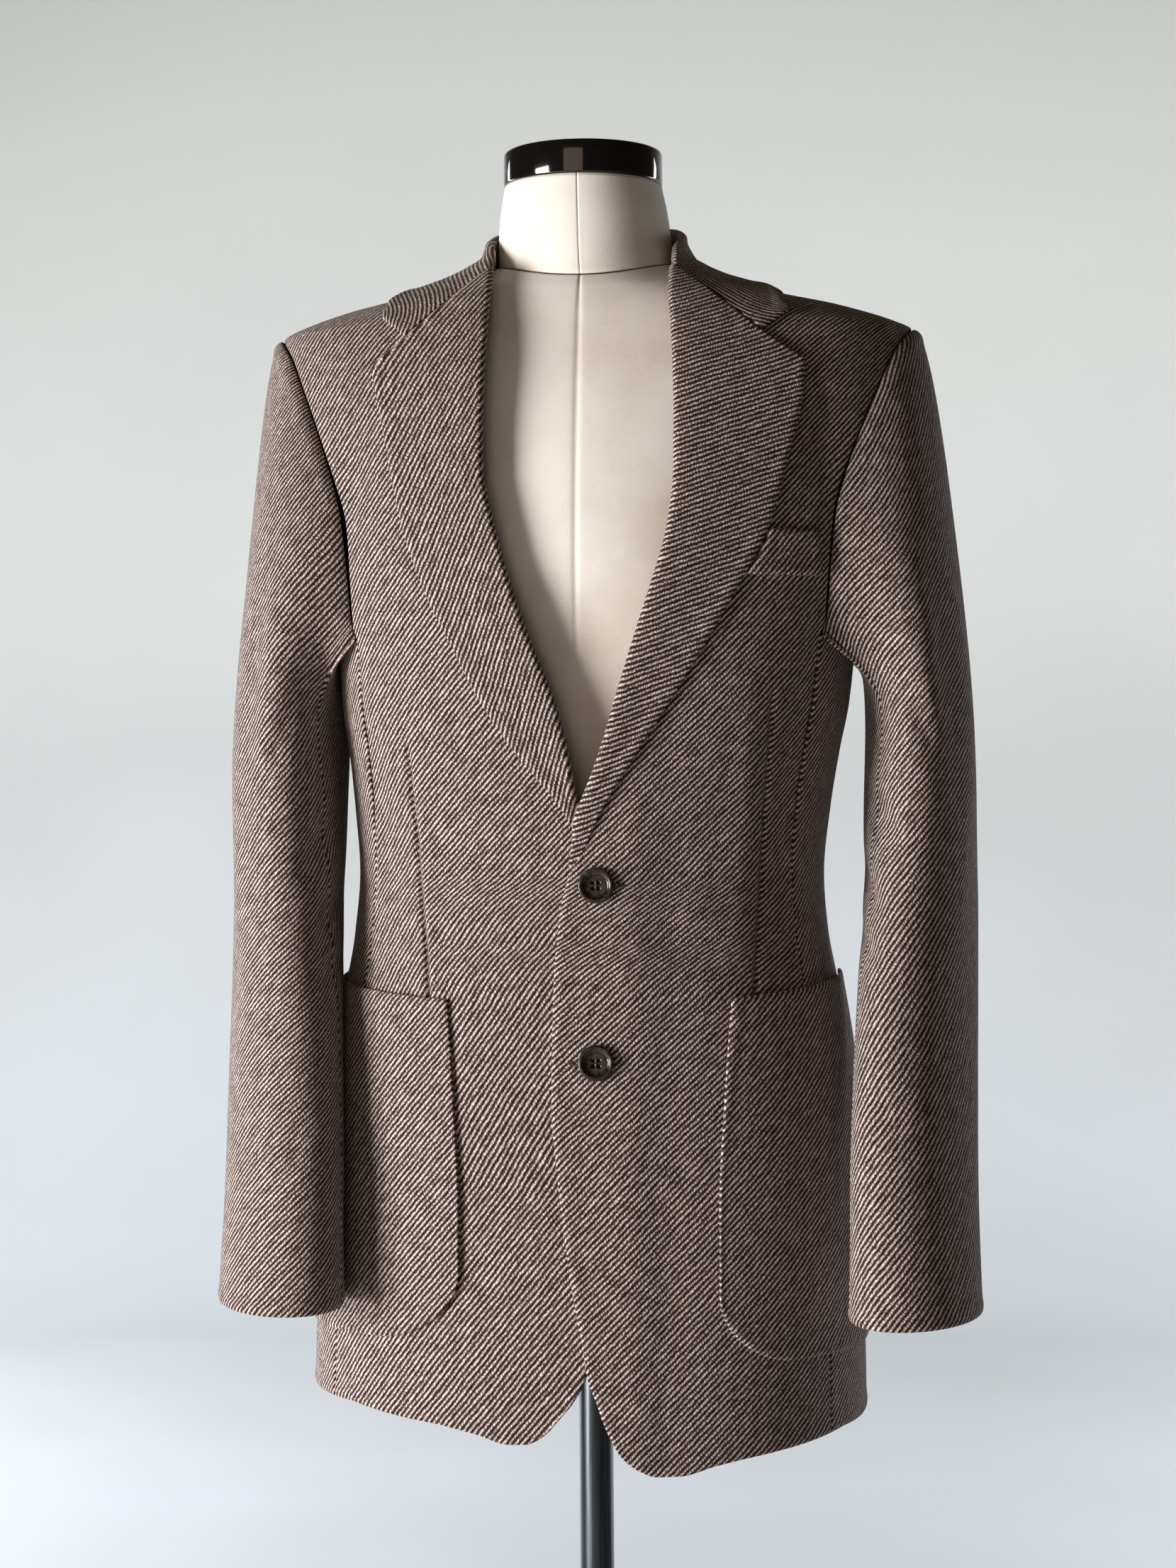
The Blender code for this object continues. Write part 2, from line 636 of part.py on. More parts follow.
def lapel_mid(side):
    """Middle face of a lapel: a round roll from the front's edge, then out over the front."""
    which = 1 if side > 0 else 2
    up = np.array(LAPEL_UP)
    foot = LAPEL_FOOT[0 if side > 0 else 1]
    heel = LAPEL_HEEL[0 if side > 0 else 1]
    roll_z = foot + (GORGE_TOP - foot) * up
    roll_x = smooth(FRONT_EDGES, which, roll_z)
    edge_z = heel + (LAPEL_TIP - heel) * up
    edge_x = side * smooth(LAPEL_EDGES, which, edge_z)
    across = np.array(LAPEL_ACROSS)
    x = roll_x[:, None] + (edge_x - roll_x)[:, None] * across
    z = roll_z[:, None] + (edge_z - roll_z)[:, None] * across
    notch_x = side * NOTCH[0] * (1 + side * NOTCH_LEAN)
    toward_notch = (np.array(LAPEL_UP)[:, None] ** 6)
    share = np.where(across < NOTCH_SHARE, across / NOTCH_SHARE, 1)
    beyond = np.where(across < NOTCH_SHARE, 0, (across - NOTCH_SHARE) / (1 - NOTCH_SHARE))
    top_x = roll_x[-1] + (notch_x - roll_x[-1]) * share + (edge_x[-1] - notch_x) * beyond
    top_z = roll_z[-1] + (NOTCH[1] - roll_z[-1]) * share + (edge_z[-1] - NOTCH[1]) * beyond
    x = x + (top_x - x[-1]) * toward_notch
    z = z + (top_z - z[-1]) * toward_notch
    start = body_point(body_angle(roll_x, roll_z), roll_z)
    face = body_point(body_angle(x, z), z)
    normal = unit(field_gradient(start))
    away = unit(face[:, 1] - start)
    away = unit(away - normal * np.sum(away * normal, axis=-1, keepdims=True))
    base = front_lift(side, roll_x, roll_z)
    turn = np.linspace(0, math.pi, ROLL_STEPS + 1)
    out = base[:, None] + ROLL_RADIUS - CLOTH / 2 - ROLL_RADIUS * np.cos(turn)
    in_way = ROLL_GAP + ROLL_RADIUS * np.sin(turn) + 0 * out
    roll = start[:, None] + normal[:, None] * out[..., None] - away[:, None] * in_way[..., None]
    face_normal = unit(field_gradient(face))
    rest = LAPEL_GAP + CLOTH / 2
    high = 2 * ROLL_RADIUS - CLOTH / 2
    lift = rest + (high - rest) * (1 - fade(across, 0.0, 0.75)) + front_lift(side, x, z)
    face = face + face_normal * lift[..., None]
    return np.concatenate([roll, face], axis=1)


def add_lapels(tweed):
    """The two lapels, turned back over the fronts."""
    for side, word in ((1, "left"), (-1, "right")):
        mid = inset(lapel_mid(side), first_column=SEAM_GAP, last_row=SEAM_GAP / 2)
        normals = grid_normals(mid) * side
        make_wall("lapel_" + word, mid + normals * CLOTH / 2, mid - normals * CLOTH / 2,
                  tweed, flip=side < 0)


def collar_lines(stations, side):
    """Fold line and outer edge of the collar at the stations of one side, on its under face."""
    gorge = np.clip((stations - 1.0) / 0.3, 0, 1)
    start_x = side * smooth(FRONT_EDGES, 1 if side > 0 else 2, GORGE_TOP)
    notch_x = NOTCH[0] * (1 + side * NOTCH_LEAN)
    gorge_x = start_x + (notch_x - start_x) * gorge
    gorge_z = GORGE_TOP + (NOTCH[1] - GORGE_TOP) * gorge + GORGE_GAP
    on_body = body_point(body_angle(side * gorge_x, gorge_z), gorge_z)
    on_body = on_body + unit(field_gradient(on_body)) * COLLAR_GAP
    first = on_body[0]
    fold_table = COLLAR_FOLD + ((1.0, abs(first[0]), first[1], first[2]),)
    fold = np.stack([side * smooth(fold_table, 1, stations), smooth(fold_table, 2, stations),
                     smooth(fold_table, 3, stations)], axis=-1)
    fold = np.where((stations < 1.0)[:, None], fold, on_body)
    angle = side * np.radians(smooth(COLLAR_EDGE, 1, stations))
    height = smooth(COLLAR_EDGE, 2, stations)
    edge = body_point(angle, height)
    edge = edge + unit(field_gradient(edge)) * COLLAR_GAP
    return fold, edge


def collar_under(stations, side):
    """Under face of the collar's fall for one side, a row for each station."""
    fold, edge = collar_lines(stations, side)
    bend = 0.25 + 0.25 * fade(stations, 0.8, 1.1)
    middle = fold + (edge - fold) * bend[:, None]
    middle[:, 2] = edge[:, 2] + (fold[:, 2] - edge[:, 2]) * bend
    share = np.array(COLLAR_ACROSS)[:, None]
    points = ((1 - share) ** 2 * fold[:, None] + 2 * share * (1 - share) * middle[:, None]
              + share ** 2 * edge[:, None])
    return rest_on_body(points, COLLAR_GAP)


def both_sides(stations, make):
    """Rows from the wearer's right front end, round the back, to the left front end."""
    stations = np.array(stations)
    left = make(stations, 1)
    right = make(stations, -1)
    centre = (left[:1] + right[:1]) / 2
    return np.concatenate([right[:0:-1], centre, left[1:]])


def stand_face(stations, side):
    """Outer face of the collar's stand, from its foot to just inside the fold."""
    foot = np.stack([side * smooth(STAND_FOOT, 1, stations), smooth(STAND_FOOT, 2, stations),
                     smooth(STAND_FOOT, 3, stations)], axis=-1)
    fold = collar_lines(stations, side)[0]
    inward = unit(fold * np.array([1.0, 1.0, 0.0]))
    fold = fold - inward * (SEAM_GAP + STAND_GAP)
    foot = foot - inward * STAND_GAP
    share = np.linspace(0, 1, 4)[:, None]
    return foot[:, None] + (fold - foot)[:, None] * share


def add_collar(tweed):
    """The fall of the collar and the stand inside it."""
    under = both_sides(COLLAR_STATIONS, collar_under)
    normals = -grid_normals(under)
    make_wall("collar", under + normals * CLOTH, under, tweed, flip=True)
    outer = both_sides(STAND_STATIONS, stand_face)
    make_wall("collar_stand", outer, outer - grid_normals(outer) * STAND_CLOTH, tweed)


def pocket_under(side):
    """Under face of a patch pocket, from its bottom edge to its mouth."""
    across = np.array(POCKET_ACROSS)
    from_mid = np.abs(2 * across - 1) * POCKET_WIDTH / 2
    into_corner = np.clip(from_mid - (POCKET_WIDTH / 2 - POCKET_CORNER), 0, POCKET_CORNER)
    rise = POCKET_CORNER - np.sqrt(POCKET_CORNER ** 2 - into_corner ** 2)
    bottom = POCKET_BOTTOM[side] + rise
    top = POCKET_TOP[0] + (POCKET_TOP[1] - POCKET_TOP[0]) * across
    up = np.array(POCKET_UP)[:, None]
    height = bottom + (top - bottom) * up
    level = (height - POCKET_BOTTOM[side]) / (top[0] - POCKET_BOTTOM[side])
    back = POCKET_BACK_ANGLE[0] + (POCKET_BACK_ANGLE[1] - POCKET_BACK_ANGLE[0]) * level
    first = body_angle(side * smooth(POCKET_FRONT, 1, height) + POCKET_MID, height)
    angle = first + (side * np.radians(back) - first) * across
    grid = body_point(angle, height)
    fullness = POCKET_FULLNESS * np.sin(math.pi * across) * fade(up, 0.3, 1.0)
    return grid + unit(field_gradient(grid)) * (LAY_GAP + fullness)[..., None]


def add_pockets(tweed):
    """The two patch pockets."""
    for side, word in ((1, "left"), (-1, "right")):
        under = pocket_under(side)
        normals = unit(field_gradient(under))
        make_wall("pocket_" + word, under + normals * POCKET_CLOTH, under, tweed,
                  flip=side < 0)


def add_welt(tweed):
    """The welt of the breast pocket, beside the wearer's left lapel."""
    height = np.linspace(WELT_HEIGHTS[0], WELT_HEIGHTS[1], 4)[:, None]
    inner = smooth(LAPEL_EDGES, 1, height) + WELT_BESIDE_LAPEL
    x = inner + (WELT_OUTER - inner) * np.linspace(0, 1, 7)
    under = body_point(body_angle(x, height + 0 * x), height + 0 * x)
    under = under + unit(field_gradient(under)) * LAY_GAP
    normals = grid_normals(under)
    make_wall("breast_welt", under + normals * WELT_CLOTH, under, tweed)


# --- sleeves

def armhole_loop(side):
    """The armhole's points: from the shoulder tip down the front, under, and up the back."""
    front = front_panel(side)[len(PANEL_UP) - 1:, -1]
    under = side_panel(side)[-1]
    back = back_panel(side)[len(PANEL_UP) - 1:, -1]
    tip = (front[-1] + back[-1]) / 2
    return np.concatenate([[tip], front[-2::-1], under[1:-1], back[:-1]])


def sleeve_ring(side, height, count):
    """A level ring of the sleeve: the outer side first, then the front, inside and back."""
    turn = np.linspace(0, 2 * math.pi, count, endpoint=False)
    table = SLEEVE_RINGS[::-1]
    centre_x = smooth(table, 1, height) + side * SLEEVE_SHIFT
    centre_y = smooth(table, 2, height)
    wide = smooth(table, 3, height) * np.cos(turn)
    deep = smooth(table, 4, height) * np.sin(turn)
    twist = np.radians(smooth(table, 5, height))
    x = centre_x + wide * np.cos(twist) - deep * np.sin(twist)
    y = centre_y - deep * np.cos(twist) - wide * np.sin(twist)
    cuff = fade(-height, -0.90, -SLEEVE_DOWN[-1])
    z = height + cuff * (CUFF_SLOPE * (y - centre_y) - side * CUFF_DROP)
    return np.stack([side * x, y, z], axis=-1)


def sleeve_face(side):
    """Outer face of a sleeve: rows from the armhole to the cuff, wrapping round."""
    loop = armhole_loop(side)
    count = len(loop)
    turn = np.linspace(0, 2 * math.pi, count, endpoint=False)
    ring = sleeve_ring(side, SLEEVE_RINGS[0][0], count)
    over = (1 + np.cos(turn)) / 2
    leave = np.stack([side * (0.72 + 0.28 * np.cos(turn)), -0.55 * np.sin(turn),
                      -0.38 + 0.58 * np.cos(turn)], axis=-1)
    leave = loop + leave * (HEAD_STAND[0] + HEAD_STAND[1] * np.sin(turn) ** 2)[:, None]
    arrive = ring.copy()
    arrive[:, 2] += HEAD_RISE[0] + HEAD_RISE[1] * over ** 1.5
    arrive[:, 0] -= side * HEAD_LEAN * over ** 1.5
    share = np.array(SLEEVE_CAP_STEPS)[:, None, None]
    cap = ((1 - share) ** 3 * loop + 3 * share * (1 - share) ** 2 * leave
           + 3 * share ** 2 * (1 - share) * arrive + share ** 3 * ring)
    lower = np.array([sleeve_ring(side, height, count) for height in SLEEVE_DOWN])
    at_pocket = 1 - fade(lower[..., 2], *POCKET_REACH)
    clear = SLEEVE_CLEAR_BODY + (SLEEVE_CLEAR_POCKET - SLEEVE_CLEAR_BODY) * at_pocket
    return np.concatenate([cap, rest_on_body(lower, clear)])


def split_columns(count):
    """Column numbers of the top sleeve and of the under sleeve, both with the seam columns."""
    front = round(TOP_SLEEVE_SHARE[0] * count)
    back = count - round(TOP_SLEEVE_SHARE[1] * count)
    top = list(range(back, count)) + list(range(0, front + 1))
    return top, list(range(front, back + 1))


def add_sleeves(tweed, horn):
    """Both sleeves in two pieces each, and the buttons at the cuffs."""
    half = SLEEVE_SEAM_GAP / 2
    for side, word in ((1, "left"), (-1, "right")):
        outer = inset(sleeve_face(side), first_row=SEAM_GAP)
        normals = grid_normals(outer, wraps=True) * side
        inner = outer - normals * CLOTH
        top, under = split_columns(outer.shape[1])
        for name, columns in (("sleeve_top_", top), ("sleeve_under_", under)):
            piece = inset(outer[:, columns], first_column=half, last_column=half)
            inside = inset(inner[:, columns], first_column=half, last_column=half)
            make_wall(name + word, piece, inside, tweed, flip=side < 0)
        rows = slice(-len(SLEEVE_DOWN), None)
        line = outer[rows, top[1]][::-1]
        line_normals = normals[rows, top[1]][::-1]
        for number, up in enumerate(CUFF_BUTTON_UP):
            height = SLEEVE_DOWN[-1] - side * CUFF_DROP + up
            place = [np.interp(height, line[:, 2], line[:, axis]) for axis in range(3)]
            normal = [np.interp(height, line[:, 2], line_normals[:, axis]) for axis in range(3)]
            add_button("sleeve_button_" + word + "_" + str(number + 1), place, normal,
                       CUFF_BUTTON_RADIUS, CUFF_BUTTON_THICKNESS, horn)


# --- buttons

def add_button(name, place, normal, radius, thickness, material):
    """A round button with a raised rim, standing on a seat point and facing along normal."""
    profile = (
        (radius * 0.80, 0.0),
        (radius, thickness * 0.30),
        (radius, thickness * 0.75),
        (radius * 0.92, thickness),
        (radius * 0.78, thickness),
        (radius * 0.66, thickness * 0.68),
    )
    rings = turned_rings(profile, BUTTON_AROUND)
    normal = np.array(normal) / np.linalg.norm(normal)
    across = unit(np.cross(np.array([0.0, 0.0, 1.0]), normal))
    upward = np.cross(normal, across)
    seat = np.array(place) + normal * BUTTON_GAP
    rings = (seat + rings[..., :1] * across + rings[..., 1:2] * upward
             + rings[..., 2:] * normal)
    return make_lathe(name, rings, material)


def add_front_buttons(horn):
    """The two front buttons, on the wearer's left front."""
    for name, height in zip(("front_button_upper", "front_button_lower"), BUTTON_HEIGHTS):
        angle = body_angle(np.array(BUTTON_X), np.array(height))
        place = body_point(angle, np.array(height))
        normal = unit(field_gradient(place))
        lift = front_lift(1, np.array(BUTTON_X), np.array(height))
        add_button(name, place + normal * lift, normal, BUTTON_RADIUS, BUTTON_THICKNESS, horn)


# --- dress form

def add_form(canvas, black, steel):
    """Torso, neck, cap, pole and base."""
    turn = np.linspace(0, 2 * math.pi, FORM_AROUND, endpoint=False)
    power = 2 / FORM_SQUARENESS
    rings = []
    for front_z, side_z, back_z, wide, front, back in FORM_SECTIONS:
        across = np.cos(turn)
        deep = np.sin(turn)
        x = wide * np.sign(across) * np.abs(across) ** power
        y = np.where(deep < 0, front, back) * np.sign(deep) * np.abs(deep) ** power
        end_z = np.where(deep < 0, front_z, back_z)
        rings.append(np.stack([x, y, side_z + (end_z - side_z) * deep ** 2], axis=-1))
    make_lathe("form_torso", np.array(rings), canvas)
    turn = np.linspace(0, 2 * math.pi, NECK_AROUND, endpoint=False)
    rings = []
    for front_z, side_z, back_z, radius, centre in NECK_SECTIONS:
        deep = np.sin(turn)
        end_z = np.where(deep < 0, front_z, back_z)
        rings.append(np.stack([centre + radius * np.cos(turn), radius * deep,
                               side_z + (end_z - side_z) * deep ** 2], axis=-1))
    make_lathe("form_neck", np.array(rings), canvas)
    low, high = CAP_HEIGHTS
    cap = ((CAP_RADIUS - CAP_BEVEL / 2, low), (CAP_RADIUS, low + CAP_BEVEL / 2),
           (CAP_RADIUS, high - CAP_BEVEL), (CAP_RADIUS - CAP_BEVEL, high))
    make_lathe("neck_cap", turned_rings(cap, DISC_AROUND) + np.array([CAP_X, 0, 0]), black)
    foot = BASE_THICKNESS + SEAM_GAP
    pole = ((POLE_RADIUS, foot), (POLE_RADIUS, FORM_BOTTOM - SEAM_GAP))
    make_lathe("pole", turned_rings(pole, POLE_AROUND), steel)
    top = BASE_THICKNESS
    base = ((BASE_RADIUS - BASE_BEVEL / 2, 0.0), (BASE_RADIUS, BASE_BEVEL / 2),
            (BASE_RADIUS, top - BASE_BEVEL), (BASE_RADIUS - BASE_BEVEL, top))
    make_lathe("base", turned_rings(base, BASE_AROUND), steel)


def clear_scene():
    """Remove what the scene holds."""
    for item in list(bpy.data.objects):
        bpy.data.objects.remove(item)


def main():
    """Build every piece."""
    clear_scene()
    tweed = make_material("tweed", (0.17, 0.12, 0.10), 0.9)
    horn = make_material("horn", (0.07, 0.05, 0.04), 0.35)
    canvas = make_material("canvas", (0.72, 0.68, 0.60), 0.85)
    black = make_material("black_lacquer", (0.01, 0.01, 0.01), 0.15)
    steel = make_material("dark_steel", (0.05, 0.06, 0.07), 0.4, 1.0)
    build_body(tweed)
    add_lapels(tweed)
    add_collar(tweed)
    add_pockets(tweed)
    add_welt(tweed)
    add_sleeves(tweed, horn)
    add_front_buttons(horn)
    add_form(canvas, black, steel)


main()
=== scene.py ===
"""Looks of a tweed jacket on a limbless dress form.

Metres, +Z up, the jacket's front faces -Y and the wearer's left is +X. Every cloth piece is a
grid surface: a point for each pair (place across, place up), pushed in along its normal to
give the wall its inner face, with its flat cutting coordinates kept as a UV map.
"""

import math

import bmesh
import bpy
import numpy as np
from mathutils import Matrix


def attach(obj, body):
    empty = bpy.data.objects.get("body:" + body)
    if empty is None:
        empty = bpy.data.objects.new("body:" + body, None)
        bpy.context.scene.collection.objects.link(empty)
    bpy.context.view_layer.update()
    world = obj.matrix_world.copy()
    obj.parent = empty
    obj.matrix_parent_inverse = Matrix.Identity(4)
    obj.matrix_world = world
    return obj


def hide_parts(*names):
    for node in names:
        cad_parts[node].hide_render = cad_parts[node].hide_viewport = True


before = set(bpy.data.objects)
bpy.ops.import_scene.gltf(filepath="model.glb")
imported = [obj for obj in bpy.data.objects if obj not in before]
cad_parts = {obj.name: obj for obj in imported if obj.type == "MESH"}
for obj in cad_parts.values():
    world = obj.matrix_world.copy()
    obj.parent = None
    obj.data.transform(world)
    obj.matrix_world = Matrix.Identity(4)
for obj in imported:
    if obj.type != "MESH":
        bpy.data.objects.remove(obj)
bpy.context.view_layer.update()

bl_info = {
    "name": "Tweed jacket on a dress form",
    "version": (1, 0, 0),
    "blender": (4, 5, 0),
    "location": "View3D > Sidebar > Jacket",
    "description": "Builds a tweed jacket on its dress form, with its stage",
    "category": "Add Mesh",
}

# The two sides of the jacket, the wearer's left first, and the column of a table that is theirs
SIDES = ((1, "left"), (-1, "right"))
SIDE_COLUMN = {1: 1, -1: 2}

# Cloth's thickness, seams, and gaps between a piece and what it lies on
CLOTH = 0.0024
SEAM_GAP = 0.00012
LAY_GAP = 0.0007
COLLAR_GAP = 0.0011
LAPEL_GAP = 0.0011
ROLL_GAP = 0.0011
ROLL_RADIUS = 0.0027

# Heights, hem, and angles of the side seams from the centre front
ARMPIT = 1.212
UNDERARM_DIP = 0.008
HEM = 0.7275
HEM_TILT = 0.0095
NECK_SEAM = 1.4595
NECK_X = 0.0660
SHOULDER_TIP = 1.411
FRONT_SEAM_ANGLE = 58.0
BACK_SEAM_ANGLE = 118.0
# Places across and heights over which the left front settles from its lap onto the body
LAP_ACROSS = (0.030, 0.062)
LAP_UP = (1.115, 1.185)

# Buttons
BUTTON_X = 0.0125
BUTTON_HEIGHTS = (1.058, 0.950)
BUTTON_RADIUS = 0.0110
BUTTON_THICKNESS = 0.0036
CUFF_BUTTON_RADIUS = 0.0073
CUFF_BUTTON_THICKNESS = 0.0030
CUFF_BUTTON_UP = (0.045, 0.066)
# Rows of the sleeve, up from the cuff, among which its buttons are placed
CUFF_SEARCH = 101
BUTTON_GAP = 0.0005
# Buttonholes: name, height, and reach from the button's middle towards the right and the left
BUTTONHOLES = (
    ("buttonhole_upper", BUTTON_HEIGHTS[0], -0.0040, 0.0165),
    ("buttonhole_lower", BUTTON_HEIGHTS[1], -0.0165, 0.0040),
)
BUTTONHOLE_HALF_HEIGHT = 0.0013
# Their thread: radius, height of its middle over the cloth, purls and their share of the radius,
# and points along and round it
THREAD_RADIUS = 0.00052
THREAD_LIFT = 0.0003
PURLS = 46
PURL_RISE = 0.28
THREAD_POINTS = (240, 10)

# Dress form stand
CAP_RADIUS = 0.0518
CAP_X = -0.0020
CAP_HEIGHTS = (1.5093, 1.531)
POLE_RADIUS = 0.011
FORM_BOTTOM = 0.800
BASE_RADIUS = 0.210
BASE_THICKNESS = 0.012
# Points round the base and the form, the cap, the pole and a button
ROUND_AROUND = 144
CAP_AROUND = 96
POLE_AROUND = 64
BUTTON_AROUND = 96
# A button's outline from the middle of its underside, as shares of its radius and thickness, and
# where its upper face begins in that list
BUTTON_PROFILE = (
    (0.0001, 0.00), (0.60, 0.00), (0.80, 0.00), (0.90, 0.06), (0.97, 0.18), (1.00, 0.34),
    (1.00, 0.70), (0.985, 0.85), (0.94, 0.96), (0.88, 1.00), (0.82, 0.985), (0.77, 0.93),
    (0.73, 0.82), (0.69, 0.70), (0.64, 0.63), (0.56, 0.58), (0.46, 0.545), (0.38, 0.53),
    (0.31, 0.52), (0.25, 0.515), (0.19, 0.51), (0.13, 0.51), (0.07, 0.51), (0.0001, 0.51),
)
BUTTON_FACE = 13
# Its holes and the grooves beside them: the first one's turn in degrees, distance from the middle,
# width and depth, and where a groove begins and ends, all as shares of the radius or the thickness
HOLE_TURN = 45
HOLE_OUT = 0.21
HOLE_RADIUS = 0.085
HOLE_DEPTH = 0.42
GROOVE_TURN = 20
GROOVE_WIDTH = 0.035
GROOVE_DEPTH = 0.07
GROOVE_INSIDE = (0.42, 0.50)
GROOVE_OUTSIDE = (0.66, 0.72)

# Horizontal sections of the jacket's outer face: height, half width, depth in front of the
# side line, depth behind it, share by which the wearer's left side is wider than the right
BODY_SECTIONS = (
    (0.690, 0.1790, 0.1490, 0.1370, -0.016),
    (0.760, 0.1780, 0.1470, 0.1350, -0.014),
    (0.820, 0.1765, 0.1440, 0.1320, -0.008),
    (0.882, 0.1735, 0.1400, 0.1280, 0.000),
    (0.920, 0.1700, 0.1370, 0.1240, 0.000),
    (0.955, 0.1655, 0.1340, 0.1190, 0.000),
    (0.990, 0.1598, 0.1310, 0.1140, 0.000),
    (1.025, 0.1535, 0.1280, 0.1100, 0.000),
    (1.063, 0.1505, 0.1260, 0.1080, 0.004),
    (1.104, 0.1540, 0.1270, 0.1090, 0.010),
    (1.141, 0.1590, 0.1285, 0.1120, 0.018),
    (1.170, 0.1640, 0.1290, 0.1150, 0.024),
    (1.212, 0.1680, 0.1290, 0.1180, 0.030),
    (1.250, 0.1770, 0.1260, 0.1175, 0.030),
    (1.300, 0.1900, 0.1190, 0.1140, 0.030),
    (1.350, 0.2020, 0.1080, 0.1060, 0.030),
    (1.380, 0.2070, 0.0990, 0.0980, 0.030),
    (1.400, 0.2075, 0.0900, 0.0900, 0.030),
    (1.411, 0.2045, 0.0840, 0.0850, 0.030),
    (1.4145, 0.1980, 0.0820, 0.0835, 0.029),
    (1.4255, 0.1650, 0.0760, 0.0785, 0.024),
    (1.4325, 0.1340, 0.0715, 0.0750, 0.016),
    (1.4395, 0.1080, 0.0675, 0.0720, 0.006),
    (1.4445, 0.0930, 0.0645, 0.0700, 0.000),
    (1.4515, 0.0780, 0.0610, 0.0680, 0.000),
    (1.4595, 0.0660, 0.0590, 0.0670, 0.000),
    (1.4700, 0.0625, 0.0580, 0.0665, 0.000),
    (1.5000, 0.0600, 0.0560, 0.0660, 0.000),
)
SQUARENESS = 2.4

# Inner edge of the two fronts: height, x on the wearer's left front, x on the right front
FRONT_EDGES = (
    (0.7142, 0.0255, -0.0250),
    (0.7240, 0.0203, -0.0200),
    (0.7335, 0.0160, -0.0125),
    (0.7460, 0.0117, -0.0020),
    (0.7600, 0.0065, 0.0055),
    (0.7785, 0.0037, 0.0093),
    (0.8152, -0.0029, 0.0159),
    (0.8552, -0.0084, 0.0214),
    (0.8883, -0.0121, 0.0251),
    (0.9215, -0.0149, 0.0275),
    (0.9551, -0.0145, 0.0275),
    (0.9946, -0.0136, 0.0266),
    (1.0419, -0.0095, 0.0225),
    (1.0683, -0.0032, 0.0162),
    (1.0954, 0.0020, 0.0080),
    (1.1120, 0.0095, -0.0008),
    (1.1357, 0.0185, -0.0065),
    (1.1666, 0.0280, -0.0150),
    (1.2055, 0.0400, -0.0300),
    (1.2398, 0.0510, -0.0420),
    (1.2734, 0.0605, -0.0515),
    (1.3110, 0.0650, -0.0595),
    (1.3430, 0.0652, -0.0605),
    (1.3830, 0.0640, -0.0600),
    (1.4446, 0.0600, -0.0585),
    (1.4595, 0.0660, -0.0660),
)

# Height of a front's inner edge where it meets the hem
FRONT_CORNER = {1: 0.7142, -1: 0.7335}

# Outer edge of the lapels: height, |x| on the wearer's left, |x| on the right
LAPEL_EDGES = (
    (1.0700, -0.0005, -0.0080),
    (1.0815, 0.0060, -0.0030),
    (1.0985, 0.0138, 0.0045),
    (1.1120, 0.0212, 0.0135),
    (1.1357, 0.0360, 0.0335),
    (1.1760, 0.0620, 0.0605),
    (1.2000, 0.0765, 0.0725),
    (1.2364, 0.0975, 0.0910),
    (1.2797, 0.1195, 0.1070),
    (1.3260, 0.1320, 0.1175),
    (1.3560, 0.1395, 0.1235),
    (1.3825, 0.1418, 0.1295),
)
# Heights at which the roll and the outer edge start
LAPEL_FOOT = {1: 1.0700, -1: 1.1000}
LAPEL_HEEL = {1: 1.0700, -1: 1.0880}
# Height over which the roll grows out of the front's edge, and its cloth and radius at the foot
LAPEL_GROWS = {1: 0.045, -1: 0.020}
FOOT_CLOTH = 0.0004
FOOT_RADIUS = 0.0007
# The lapel's tip, the gorge's upper end, the notch (|x| and height), the notch's share of the way
# across the lapel, how much further out it is on the wearer's left, and the gap along the gorge
LAPEL_TIP = 1.3825
GORGE_TOP = 1.4446
NOTCH = (0.1120, 1.4008)
NOTCH_SHARE = 0.70
NOTCH_LEAN = 0.03
GORGE_GAP = 0.0010
# The power that keeps the notch to a lapel's top, and the share across at which it lies settled
NOTCH_NEAR = 6
LAPEL_SETTLES = 0.75

# Armhole edge: height, |x| on the front, |x| on the back
ARMHOLE = (
    (1.212, 0.1490, 0.1515),
    (1.250, 0.1515, 0.1610),
    (1.289, 0.1555, 0.1685),
    (1.311, 0.1610, 0.1720),
    (1.343, 0.1720, 0.1800),
    (1.371, 0.1830, 0.1885),
    (1.395, 0.1935, 0.1960),
    (1.411, 0.2045, 0.2045),
)

# Drop of the front hem below the side hem: distance from the line where the fronts part, drop
HEM_DROP = (
    (0.013, 0.0000),
    (0.019, 0.0035),
    (0.025, 0.0085),
    (0.032, 0.0128),
    (0.045, 0.0170),
    (0.060, 0.0172),
    (0.085, 0.0120),
    (0.110, 0.0080),
    (0.135, 0.0040),
    (0.155, 0.0000),
)
PARTING_X = 0.0065

# Waist darts of the fronts: height, x on the wearer's left front, x on the right front
DARTS = (
    (0.800, 0.1000, -0.0860),
    (0.990, 0.1085, -0.0930),
    (1.080, 0.1140, -0.1000),
    (1.153, 0.1195, -0.1070),
    (1.182, 0.1212, -0.1090),
)
DART_TOP = {1: 1.182, -1: 1.153}
# Heights between which a dart dies out under the pocket, and between which the columns beside it
# let go of it; how far below its top its groove and what it takes up begin to fade
DART_FOOT = (0.860, 0.940)
DART_LEAVES = (1.19, 1.26)
DART_FADES = 0.02
DART_EASES = 0.12

# Fold line of the collar from the centre back to the front: place along, |x|, y, height
COLLAR_FOLD = (
    (0.00, 0.0000, 0.0690, 1.4915),
    (0.25, 0.0345, 0.0600, 1.4890),
    (0.45, 0.0570, 0.0350, 1.4835),
    (0.62, 0.0618, 0.0040, 1.4745),
    (0.80, 0.0605, -0.0270, 1.4635),
)
